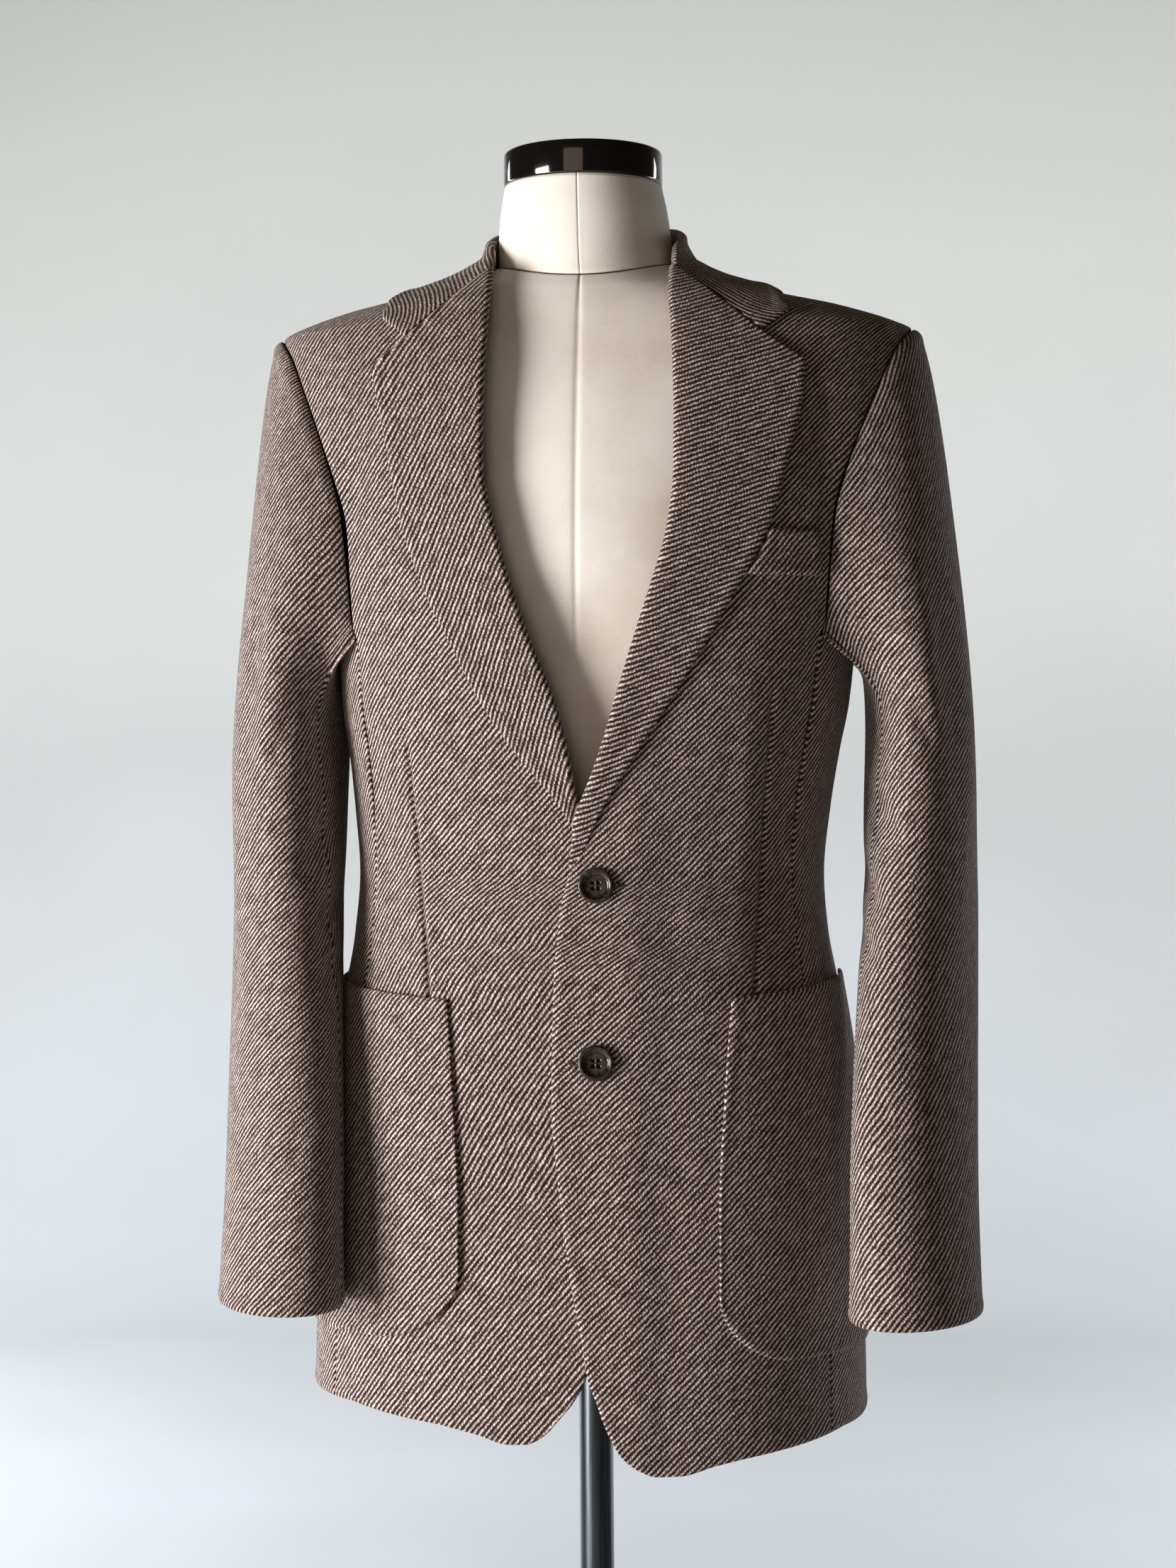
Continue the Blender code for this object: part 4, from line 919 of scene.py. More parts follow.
def quads_of(rows, columns, start=0, flip=False):
    """Quads of a grid of points numbered row by row."""
    a = (np.arange(rows - 1)[:, None] * columns + np.arange(columns - 1)).ravel() + start
    quads = np.stack([a, a + 1, a + columns + 1, a + columns], axis=-1)
    return quads[:, ::-1] if flip else quads


def ring_quads(rows, around, closed=False):
    """Quads between rings of points numbered ring by ring, and from the last ring back to the
    first where closed."""
    row = np.arange(rows if closed else rows - 1)[:, None]
    col = np.arange(around)
    after = (row + 1) % rows
    beside = (col + 1) % around
    quads = np.stack([row * around + col, row * around + beside, after * around + beside,
                      after * around + col], axis=-1)
    return quads.reshape(-1, 4)


def wall_object(name, outer, inner, material, flat, flip=False):
    """A closed wall between two grids of the same size, with quads round its four borders."""
    rows, columns = outer.shape[:2]
    count = rows * columns
    points = np.concatenate([outer.reshape(-1, 3), inner.reshape(-1, 3)])
    number = np.arange(count).reshape(rows, columns)
    border = np.concatenate([number[0], number[1:, -1], number[-1, -2::-1], number[-2:0:-1, 0]])
    after = np.roll(border, -1)
    rim = np.stack([border, border + count, after + count, after], axis=-1)
    quads = np.concatenate([quads_of(rows, columns), quads_of(rows, columns, count, True), rim])
    if flip:
        quads = quads[:, ::-1]
    return fill_mesh(name, points, quads, material, np.concatenate([flat.reshape(-1, 2)] * 2))


def cloth_piece(name, grid, normals, degrees, kinds, thickness=CLOTH, flip=False,
                creases=0.0, flat=None):
    """A cloth piece whose borders are seams, edges or neither: its outer face sinks at a seam as
    the square of the nearness, both faces round off by a quarter circle at an edge, which swells
    where the cloth is turned in, and creases push both faces in."""
    if flat is None:
        flat = lay_flat(grid, normals, 0, np.array((0.0, 0.0, 1.0)))
    sink = np.zeros(grid.shape[:2])
    rise = np.zeros(grid.shape[:2])
    swell = np.zeros(grid.shape[:2])
    for kind, distance in zip(kinds, borders(grid).values()):
        if kind == "seam":
            near = np.clip(1 - distance / SEAM_WIDTH, 0, 1)
            sink = np.maximum(sink, SEAM_DEPTH * near ** 2)
        elif kind == "edge":
            near = np.clip(1 - distance / (EDGE_ROUND * thickness), 0, 1)
            bow = (1 - np.sqrt(1 - EDGE_MEETS * near ** 2)) * thickness / 2
            sink = np.maximum(sink, bow)
            rise = np.maximum(rise, bow)
            off = (distance / EDGE_BULGE_WIDTH - 1) / EDGE_BULGE_SPREAD
            swell = swell + EDGE_BULGE * np.exp(-off ** 2)
    outer = grid - normals * (sink + creases - np.minimum(swell, EDGE_BULGE))[..., None]
    inner = grid - normals * (thickness - rise + creases)[..., None]
    made = wall_object(name, outer, inner, material_named("woollen_twill"),
                       along_ridges(flat, degrees), flip)
    stands_for(made, name)


def stands_for(made, node):
    """Puts a rigid piece in the place of its CAD node: in the one body, with the node's part hidden.
    """
    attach(made, "root")
    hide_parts(node)


# --- body panels

def panel_grid(inner_angle, outer_angle, across, foot, top, up):
    """Angles and heights below the armpit, rising from the hem, between two edges."""
    up = up[:, None]
    inner = inner_angle(foot[0] + (top - foot[0]) * up)
    outer = outer_angle(foot[1] + (top - foot[1]) * up)
    angle = inner + (outer - inner) * across
    low = hem_height(angle[0])
    return angle, low + (top - low) * up


def yoke_grid(side, inner_x, outer_x, across, front, down):
    """Angles and heights above the armpit, up to the shoulder line."""
    down = down[:, None]
    neck_x = inner_x(NECK_SEAM) if front else NECK_X
    tip = body_size(SHOULDER_TIP, side)[0]
    top_x = inner_x(NECK_SEAM) + (tip - inner_x(NECK_SEAM)) * across
    top = np.where(top_x < neck_x, NECK_SEAM, ridge_height(np.maximum(top_x, neck_x), side))
    height = top - (top - ARMPIT) * down
    low = inner_x(height[:, :1])
    high = outer_x(height[:, -1:]) * (1 + smooth(BODY_SECTIONS, 4, height[:, -1:]) * side)
    x = low + (high - low) * across
    angle = body_angle(x * side, height) * side
    angle = np.minimum(angle, math.pi / 2 - 0.0012)
    if not front:
        angle = math.pi - angle
    return angle * side, height


def yoke_rows(count):
    """Shares of the way down from the shoulder line, closest near it: powers of even steps."""
    return (np.linspace(1, 0, count)[1:]) ** YOKE_CLOSER


def front_panel(side, across, up, down):
    """Outer face of one front: the hem row first, the shoulder row last."""
    def inner_angle(height):
        return body_angle(smooth(FRONT_EDGES, SIDE_COLUMN[side], height), height)

    def seam_angle(height):
        return side * math.radians(FRONT_SEAM_ANGLE) + 0 * height

    def inner_x(height):
        return side * smooth(FRONT_EDGES, SIDE_COLUMN[side], height)

    def outer_x(height):
        return smooth(ARMHOLE, 1, height)

    foot = (FRONT_CORNER[side], hem_height(np.array(side * math.radians(FRONT_SEAM_ANGLE))))
    angle, height = panel_grid(inner_angle, seam_angle, across, foot, ARMPIT, up)
    high_angle, high_height = yoke_grid(side, inner_x, outer_x, across, True, down)
    return np.concatenate([angle, high_angle]), np.concatenate([height, high_height])


def follow_dart(side, angle, height, across):
    """Angles moved so that the column at the dart's share of the way across runs down the dart."""
    dart = body_angle(smooth(DARTS, SIDE_COLUMN[side], height[:, :1]), height[:, :1])
    first = angle[:, :1]
    last = angle[:, -1:]
    before = first + (dart - first) * (across / DART_AT)
    after = dart + (last - dart) * ((across - DART_AT) / (1 - DART_AT))
    moved = np.where(across <= DART_AT, before, after)
    return angle + (moved - angle) * (1 - fade(height, *DART_LEAVES))


def make_fronts():
    """The two fronts with their darts."""
    across = np.concatenate([spread(PANEL_REACH[0]), DART_AT + np.array(DART_COLUMNS) / DART_SPAN])
    across = np.unique(across)
    up = spread_up(PANEL_REACH[1])
    for side, word in SIDES:
        angle, height = front_panel(side, across, up, yoke_rows(YOKE_ROWS))
        angle = follow_dart(side, angle, height, across)
        grid = body_point(angle, height)
        normals = body_normal(grid)
        grid = grid + normals * front_lift(side, grid[..., 0], grid[..., 2])[..., None]
        grid = draw_in(grid, last_column=SEAM_GAP / 2, last_row=SEAM_GAP / 2)
        beyond = grid[..., 0] - smooth(DARTS, SIDE_COLUMN[side], grid[..., 2])
        top = DART_TOP[side]
        above = fade(grid[..., 2], *DART_FOOT)
        dart = DART_DEPTH * np.exp(-(beyond / DART_WIDTH) ** 2)
        dart = dart * above * (1 - fade(grid[..., 2], top - DART_FADES, top))
        shown = POCKET_CREASES + (1 - POCKET_CREASES) * fade(grid[..., 2], *POCKET_CALM)
        push = body_creases(grid, -1) * shown + dart
        calm = fade(np.abs(grid[..., 0] - BUTTON_X), *BUTTON_CALM)
        flat = lay_flat_in_two(grid, normals, len(across) - 1, len(up), slice(len(up), None),
                               shoulder_up(normals, -1))
        taken = DART_TAKE * above * (1 - fade(grid[..., 2], top - DART_EASES, top))
        flat[..., 0] += taken * fade(beyond, -0.0004, 0.0004)
        cloth_piece("front_" + word, grid, normals, TWILL_BODY[side],
                    ("edge", "seam", "edge", "seam"), flip=side < 0,
                    creases=push * calm, flat=flat)


def shoulder_up(normals, face):
    """The way up the cloth: vertical, turning over the shoulder where the face looks up."""
    lean = np.clip(normals[..., 2], 0, 1) * 2.0
    return np.stack([0 * lean, -face * lean, 1 + 0 * lean], axis=-1)


def draw_in(grid, first_column=0.0, last_column=0.0, first_row=0.0, last_row=0.0):
    """A grid with its borders drawn in along its own surface by the given distances."""
    grid = grid.copy()
    grid[:, 0] += first_column * unit(grid[:, 2] - grid[:, 0])
    grid[:, -1] += last_column * unit(grid[:, -3] - grid[:, -1])
    grid[0] += first_row * unit(grid[2] - grid[0])
    grid[-1] += last_row * unit(grid[-3] - grid[-1])
    return grid


def back_panel(side, across, up, down):
    """Outer face of one back, from the centre back seam to the side."""
    def centre_angle(height):
        return side * math.pi + 0 * height

    def seam_angle(height):
        return side * math.radians(BACK_SEAM_ANGLE) + 0 * height

    def centre_x(height):
        return 0 * height

    def outer_x(height):
        return smooth(ARMHOLE, 2, height)

    foot = (HEM, hem_height(np.array(side * math.radians(BACK_SEAM_ANGLE))))
    angle, height = panel_grid(centre_angle, seam_angle, across, foot, ARMPIT, up)
    high_angle, high_height = yoke_grid(side, centre_x, outer_x, across, False, down)
    return body_point(np.concatenate([angle, high_angle]), np.concatenate([height, high_height]))


def side_panel(side, across, up):
    """Outer face of the panel under the arm, from the front seam to the back seam."""
    turn = FRONT_SEAM_ANGLE + (BACK_SEAM_ANGLE - FRONT_SEAM_ANGLE) * across
    angle = side * np.radians(turn)
    top = ARMPIT - UNDERARM_DIP * np.sin(math.pi * across)
    low = hem_height(angle)
    return body_point(angle + 0 * up[:, None], low + (top - low) * up[:, None])


def make_backs():
    """The two backs, with the centre back seam between them."""
    for side, word in SIDES:
        up = spread_up(PANEL_REACH[1])
        grid = back_panel(side, spread(PANEL_REACH[0]), up, yoke_rows(YOKE_ROWS))
        normals = body_normal(grid)
        grid = draw_in(grid, SEAM_GAP / 2, SEAM_GAP / 2, 0.0, SEAM_GAP / 2)
        push = body_creases(grid, 1) * fade(np.abs(grid[..., 0]), *CENTRE_CALM)
        flat = lay_flat_in_two(grid, normals, 0, len(up), slice(len(up), None),
                               shoulder_up(normals, 1))
        cloth_piece("back_" + word, grid, normals, TWILL_BODY[side],
                    ("seam", "seam", "edge", "seam"), flip=side > 0,
                    creases=push, flat=flat)


def make_sides():
    """The two panels under the arms."""
    for side, word in SIDES:
        grid = side_panel(side, spread(SIDE_REACH[0]), spread(SIDE_REACH[1]))
        normals = body_normal(grid)
        grid = draw_in(grid, SEAM_GAP / 2, SEAM_GAP / 2, 0.0, SEAM_GAP / 2)
        cloth_piece("side_" + word, grid, normals, TWILL_BODY[side],
                    ("seam", "seam", "edge", "seam"), flip=side < 0)


# --- lapels, collar and pockets

def lapel_mid(side, up, across):
    """Middle face and thickness of a lapel: a half circle from the front's edge, then out over the
    front, settling onto it as 1 - smoothstep of the way across. Towards the foot the roll's radius
    and cloth shrink, so that it grows out of the front's edge."""
    foot = LAPEL_FOOT[side]
    roll_z = foot + (GORGE_TOP - foot) * up
    roll_x = smooth(FRONT_EDGES, SIDE_COLUMN[side], roll_z)
    edge_z = LAPEL_HEEL[side] + (LAPEL_TIP - LAPEL_HEEL[side]) * up
    edge_x = side * smooth(LAPEL_EDGES, SIDE_COLUMN[side], edge_z)
    x = roll_x[:, None] + (edge_x - roll_x)[:, None] * across
    z = roll_z[:, None] + (edge_z - roll_z)[:, None] * across
    notch_x = side * NOTCH[0] * (1 + side * NOTCH_LEAN)
    toward_notch = up[:, None] ** NOTCH_NEAR
    share = np.where(across < NOTCH_SHARE, across / NOTCH_SHARE, 1)
    beyond = np.where(across < NOTCH_SHARE, 0, (across - NOTCH_SHARE) / (1 - NOTCH_SHARE))
    top_x = roll_x[-1] + (notch_x - roll_x[-1]) * share + (edge_x[-1] - notch_x) * beyond
    top_z = roll_z[-1] + (NOTCH[1] - roll_z[-1]) * share + (edge_z[-1] - NOTCH[1]) * beyond
    x = x + (top_x - x[-1]) * toward_notch
    z = z + (top_z - z[-1]) * toward_notch
    grown = fade(roll_z, foot, foot + LAPEL_GROWS[side])[:, None]
    cloth = FOOT_CLOTH + (CLOTH - FOOT_CLOTH) * grown
    radius = FOOT_RADIUS + (ROLL_RADIUS - FOOT_RADIUS) * grown
    start = front_point(roll_x, roll_z)
    face = front_point(x, z)
    normal = body_normal(start)
    away = unit(face[:, 1] - start)
    away = unit(away - normal * dot(away, normal)[..., None])
    base = front_lift(side, roll_x, roll_z)
    turn = np.linspace(0, math.pi, ROLL_STEPS + 1)
    high = LAPEL_GAP * grown + cloth / 2 + (2 * ROLL_RADIUS - CLOTH - LAPEL_GAP) * grown
    out = base[:, None] - CLOTH / 2 + (high + CLOTH / 2) * (1 - np.cos(turn)) / 2
    in_way = ROLL_GAP * grown + radius * np.sin(turn) + 0 * out
    roll = start[:, None] + normal[:, None] * out[..., None] - away[:, None] * in_way[..., None]
    face_normal = body_normal(face)
    rest = LAPEL_GAP * grown + cloth / 2
    lift = rest + (high - rest) * (1 - fade(across, 0.0, LAPEL_SETTLES)) + front_lift(side, x, z)
    face = face + face_normal * lift[..., None]
    return np.concatenate([roll, face], axis=1), cloth


def make_lapels():
    """The two lapels, turned back over the fronts."""
    up = spread(LAPEL_REACH[1], LAPEL_STEP)
    across = spread(LAPEL_REACH[0], LAPEL_STEP)
    across = across[across > LAPEL_BEGINS]
    crest = ROLL_STEPS + 3
    for side, word in SIDES:
        mid, cloth = lapel_mid(side, up, across)
        mid = draw_in(mid, SEAM_GAP, 0.0, 0.0, SEAM_GAP / 2)
        normals = grid_normals(mid) * side
        low, high = LAPEL_LEAN[side]
        lean = np.radians(low + (high - low) * up)[:, None]
        way = np.stack([-np.sin(lean), 0 * lean, np.cos(lean)], axis=-1)
        flat = lay_flat(mid, normals, crest, way)
        cloth_piece("lapel_" + word, mid + normals * (cloth / 2)[..., None], normals,
                    TWILL_LAPEL[side], ("", "edge", "", "seam"),
                    thickness=cloth, flip=side < 0, flat=flat)


def collar_lines(stations, side):
    """Fold line and outer edge of the collar at the stations of one side, on its under face."""
    gorge = np.clip((stations - GORGE_BEGINS) / GORGE_LENGTH, 0, 1)
    start_x = side * smooth(FRONT_EDGES, SIDE_COLUMN[side], GORGE_TOP)
    notch_x = NOTCH[0] * (1 + side * NOTCH_LEAN)
    gorge_x = start_x + (notch_x - start_x) * gorge
    gorge_z = GORGE_TOP + (NOTCH[1] - GORGE_TOP) * gorge + GORGE_GAP
    on_body = front_point(side * gorge_x, gorge_z)
    on_body = on_body + body_normal(on_body) * COLLAR_GAP
    first = on_body[0]
    fold_table = COLLAR_FOLD + ((GORGE_BEGINS, abs(first[0]), first[1], first[2]),)
    fold = np.stack([side * smooth(fold_table, 1, stations), smooth(fold_table, 2, stations),
                     smooth(fold_table, 3, stations)], axis=-1)
    fold = np.where((stations < GORGE_BEGINS)[:, None], fold, on_body)
    angle = side * np.radians(smooth(COLLAR_EDGE, 1, stations))
    height = smooth(COLLAR_EDGE, 2, stations)
    edge = body_point(angle, height)
    edge = edge + body_normal(edge) * COLLAR_GAP
    return fold, edge


def collar_under(stations, side, share):
    """Under face of the collar's fall for one side: quadratic Bezier curves from the fold line to
    the outer edge, pushed out of the body."""
    fold, edge = collar_lines(stations, side)
    bend = COLLAR_BEND[0] + COLLAR_BEND[1] * fade(stations, *COLLAR_BEND_AT)
    middle = fold + (edge - fold) * bend[:, None]
    middle[:, 2] = edge[:, 2] + (fold[:, 2] - edge[:, 2]) * bend
    share = share[:, None]
    points = ((1 - share) ** 2 * fold[:, None] + 2 * share * (1 - share) * middle[:, None]
              + share ** 2 * edge[:, None])
    return rest_on_body(points, COLLAR_GAP)


def both_sides(stations, make):
    """Rows from the wearer's right front end, round the back, to the left front end."""
    left = make(stations, 1)
    right = make(stations, -1)
    centre = (left[:1] + right[:1]) / 2
    return np.concatenate([right[:0:-1], centre, left[1:]])


def stand_face(stations, side, share):
    """Outer face of the collar's stand, from its foot to just inside the fold."""
    foot = np.stack([side * smooth(STAND_FOOT, 1, stations), smooth(STAND_FOOT, 2, stations),
                     smooth(STAND_FOOT, 3, stations)], axis=-1)
    fold = collar_lines(stations, side)[0]
    inward = unit(fold * np.array([1.0, 1.0, 0.0]))
    fold = fold - inward * (SEAM_GAP + STAND_GAP)
    foot = foot - inward * STAND_GAP
    return foot[:, None] + (fold - foot)[:, None] * share[:, None]


def collar_fold(under, normals, stations):
    """Outer and inner faces of the collar's fold: an arc that starts at the fall's top, goes over
    the stand and comes down inside it, thinning on the way; it shrinks away along the gorge."""
    inward = -unit(under[:, :1] * np.array([1.0, 1.0, 0.0]))
    centre = under[:, :1] + inward * STAND_CLOTH * FOLD_CENTRE
    first = under[:, :1] + normals[:, :1] * CLOTH - centre
    upward = np.zeros_like(first) + np.array([0.0, 0.0, 1.0])
    quarter = np.linspace(0, math.pi / 2, 8)
    start = unit(first)[:, 0]
    level = unit(start - upward[:, 0] * dot(start, upward[:, 0])[:, None])[:, None]
    rise = np.arcsin(np.clip(start[:, 2], -1, 1))[:, None]
    turn = rise + (math.pi / 2 - rise) * (quarter / (math.pi / 2))
    rising = level * np.cos(turn)[..., None] + upward * np.sin(turn)[..., None]
    falling = upward * np.cos(quarter)[:, None] + inward * np.sin(quarter)[:, None]
    way = np.concatenate([rising[:, 1:], falling[:, 1:]], axis=1)
    share = np.linspace(0, 1, way.shape[1] + 1)[1:][:, None]
    radius = np.linalg.norm(first, axis=-1)[:, None]
    radius = radius + (STAND_CLOTH * FOLD_INSIDE - radius) * share
    cloth = CLOTH + (STAND_CLOTH * FOLD_THIN - CLOTH) * share
    drop = np.array(FOLD_TAIL)[:, None]
    tail = (inward * radius[:, -1:] - upward * drop)
    tail_inner = (inward * (radius[:, -1:] - cloth[-1]) - upward * drop)
    outer = np.concatenate([way * radius, tail], axis=1)
    inner = np.concatenate([way * (radius - cloth), tail_inner], axis=1)
    keep = (1 - FOLD_SHRINKS * fade(np.abs(stations), *FOLD_ENDS))[:, None, None]
    shift = (1 - keep) * (first + centre - under[:, :1])
    outer = centre + outer * keep + shift
    inner = centre + inner * keep + shift * 0.5
    return outer[:, ::-1], inner[:, ::-1]


def make_collar():
    """The fall of the collar, with its rounded fold, and the stand inside it."""
    ends = COLLAR_EDGE[-1][0] - np.array(EDGE_STEPS) / COLLAR_PLACE
    stations = np.linspace(0.02, ends[-1], COLLAR_STATIONS)
    stations = np.unique(np.concatenate([[0, 0.0015], stations, ends]))
    share = spread(*COLLAR_ROWS)
    under = both_sides(stations, lambda at, side: collar_under(at, side, share))
    normals = -grid_normals(under)
    signed = np.concatenate([-stations[:0:-1], stations])
    fold_outer, fold_inner = collar_fold(under, normals, signed)
    outer = np.concatenate([fold_outer, under + normals * CLOTH], axis=1)
    inner = np.concatenate([fold_inner, under], axis=1)
    between = outer - inner
    cloth = np.linalg.norm(between, axis=-1)
    crest = fold_outer.shape[1] + 2
    upward = unit(outer[:, crest] - outer[:, -1])[:, None]
    flat = lay_flat(outer, unit(between), crest, upward)
    degrees = np.where(signed < 0, TWILL_COLLAR[-1], TWILL_COLLAR[1])[:, None]
    cloth_piece("collar", outer, unit(between), degrees, ("", "edge", "edge", "edge"),
                thickness=cloth, flip=True, flat=flat)
    stations = np.linspace(0, STAND_FOOT[-1][0], STAND_STATIONS)
    share = spread(*STAND_ROWS)[:-len(EDGE_STEPS)]
    outer = both_sides(stations, lambda at, side: stand_face(at, side, share))
    cloth_piece("collar_stand", outer, grid_normals(outer), 90.0, ("", "edge"),
                thickness=STAND_CLOTH)


def pocket_under(side, across, up):
    """Under face of a patch pocket, from its bottom edge to its mouth."""
    from_mid = np.abs(2 * across - 1) * POCKET_WIDTH / 2
    into_corner = np.clip(from_mid - (POCKET_WIDTH / 2 - POCKET_CORNER), 0, POCKET_CORNER)
    rise = POCKET_CORNER - np.sqrt(POCKET_CORNER ** 2 - into_corner ** 2)
    bottom = POCKET_BOTTOM[side] + rise
    top = POCKET_TOP[0] + (POCKET_TOP[1] - POCKET_TOP[0]) * across
    up = up[:, None]
    height = bottom + (top - bottom) * up
    level = (height - POCKET_BOTTOM[side]) / (top[0] - POCKET_BOTTOM[side])
    back = POCKET_BACK_ANGLE[0] + (POCKET_BACK_ANGLE[1] - POCKET_BACK_ANGLE[0]) * level
    first = body_angle(side * smooth(POCKET_FRONT, 1, height) + POCKET_MID, height)
    angle = first + (side * np.radians(back) - first) * across
    grid = body_point(angle, height)
    fullness = POCKET_FULLNESS * np.sin(math.pi * across) * fade(up, *POCKET_FULL)
    return grid + body_normal(grid) * (LAY_GAP + fullness)[..., None]


def make_pockets():
    """The two patch pockets, their edges drawn close to the cloth below them."""
    for side, word in SIDES:
        curve = (1 - np.cos(np.linspace(0, math.pi, POCKET_COLUMNS))) / 2
        under = pocket_under(side, curve, spread(*POCKET_ROWS))
        normals = body_normal(under)
        push = body_creases(under, -1) * POCKET_CREASES
        cloth_piece("pocket_" + word, under + normals * POCKET_CLOTH, normals, TWILL_BODY[side],
                    ["edge"] * 4, thickness=POCKET_CLOTH, flip=side < 0,
                    creases=push)


def make_welt():
    """The welt of the breast pocket, beside the wearer's left lapel."""
    share = spread(WELT_HEIGHTS[1] - WELT_HEIGHTS[0], WELT_STEP)[:, None]
    height = WELT_HEIGHTS[0] + (WELT_HEIGHTS[1] - WELT_HEIGHTS[0]) * share
    inner = smooth(LAPEL_EDGES, 1, height) + WELT_BESIDE_LAPEL
    x = inner + (WELT_OUTER - inner) * spread(WELT_WIDTH, WELT_STEP)
    under = front_point(x, height + 0 * x)
    under = under + body_normal(under) * LAY_GAP
    normals = grid_normals(under)
    cloth_piece("breast_welt", under + normals * WELT_CLOTH, normals, TWILL_WELT,
                ["edge"] * 4, thickness=WELT_CLOTH)


# --- sleeves

def armhole_loop(side):
    """The armhole's points: from the shoulder tip down the front, under, and up the back."""
    ends = np.array([0.0, 1.0])
    up = np.array([0.0, 1.0])
    angle, height = front_panel(side, ends, up, yoke_rows(ARMHOLE_ROWS))
    front = body_point(angle, height)[1:, -1]
    under = side_panel(side, np.linspace(0, 1, UNDERARM_POINTS), up)[-1]
    back = back_panel(side, ends, up, yoke_rows(ARMHOLE_ROWS))[1:, -1]
    tip = (front[-1] + back[-1]) / 2
    return np.concatenate([[tip], front[-2::-1], under[1:-1], back[:-1]])


def even_loop(loop, share):
    """A closed loop's points at shares of its length."""
    closed = np.concatenate([loop, loop[:1]])
    length = np.concatenate([[0], np.cumsum(np.linalg.norm(np.diff(closed, axis=0), axis=-1))])
    at = share * length[-1]
    return np.stack([np.interp(at, length, closed[:, axis]) for axis in range(3)], axis=-1)


def sleeve_ring(side, height, turn):
    """A level ring of the sleeve, an ellipse turned about its centre: the outer side first, then
    the front, inside and back."""
    table = SLEEVE_RINGS[::-1]
    centre_x = smooth(table, 1, height) + side * SLEEVE_SHIFT
    centre_y = smooth(table, 2, height)
    wide = smooth(table, 3, height) * np.cos(turn)
    deep = smooth(table, 4, height) * np.sin(turn)
    twist = np.radians(smooth(table, 5, height))
    x = centre_x + wide * np.cos(twist) - deep * np.sin(twist)
    y = centre_y - deep * np.cos(twist) - wide * np.sin(twist)
    cuff = 1 - fade(height, SLEEVE_END, CUFF_TOP)
    z = height + cuff * (CUFF_SLOPE * (y - centre_y) - side * CUFF_DROP)
    return np.stack([side * x, y, z], axis=-1)


def eased(cap, lower):
    """The cap and the rings with the rows beside their meeting replaced by cubic Hermite curves,
    which keep the place and direction of the rows at both ends."""
    rows = np.concatenate([cap, lower])
    first = len(cap) - EASED_ROWS[0]
    last = len(cap) + EASED_ROWS[1]
    length = np.linalg.norm(np.diff(rows[first:last + 1], axis=0), axis=-1)
    at = np.concatenate([0 * length[:1], np.cumsum(length, axis=0)])
    whole = at[-1][:, None]
    share = (at / at[-1])[..., None]
    leave = unit(rows[first + 1] - rows[first - 1]) * whole
    arrive = unit(rows[last + 1] - rows[last - 1]) * whole
    rows[first:last + 1] = ((2 * share ** 3 - 3 * share ** 2 + 1) * rows[first]
                            + (share ** 3 - 2 * share ** 2 + share) * leave
                            + (3 * share ** 2 - 2 * share ** 3) * rows[last]
                            + (share ** 3 - share ** 2) * arrive)
    return rows[:len(cap)], rows[len(cap):]


def sleeve_face(side, turn, cap_steps, heights):
    """Outer face of a sleeve: cubic Bezier curves from the armhole to the first ring, then
    rings down to the cuff, pushed clear of the body."""
    loop = even_loop(armhole_loop(side), turn / (2 * math.pi))
    ring = sleeve_ring(side, SLEEVE_RINGS[0][0], turn)
    over = ((1 + np.cos(turn)) / 2) ** HEAD_OUTER
    leave = np.stack([side * (HEAD_OUT[0] + HEAD_OUT[1] * np.cos(turn)),
                      -HEAD_FORWARD * np.sin(turn), HEAD_UP[0] + HEAD_UP[1] * np.cos(turn)], axis=-1)
    leave = loop + leave * (HEAD_STAND[0] + HEAD_STAND[1] * np.sin(turn) ** 2)[:, None]
    arrive = ring.copy()
    arrive[:, 2] += HEAD_RISE[0] + HEAD_RISE[1] * over
    arrive[:, 0] -= side * HEAD_LEAN * over
    share = cap_steps[:, None, None]
    cap = ((1 - share) ** 3 * loop + 3 * share * (1 - share) ** 2 * leave
           + 3 * share ** 2 * (1 - share) * arrive + share ** 3 * ring)
    lower = np.array([sleeve_ring(side, height, turn) for height in heights])
    cap, lower = eased(cap, lower)
    at_pocket = 1 - fade(lower[..., 2], *POCKET_REACH)
    clear = SLEEVE_CLEAR_BODY + (SLEEVE_CLEAR_POCKET - SLEEVE_CLEAR_BODY) * at_pocket
    return np.concatenate([cap, rest_on_body(lower, clear)])


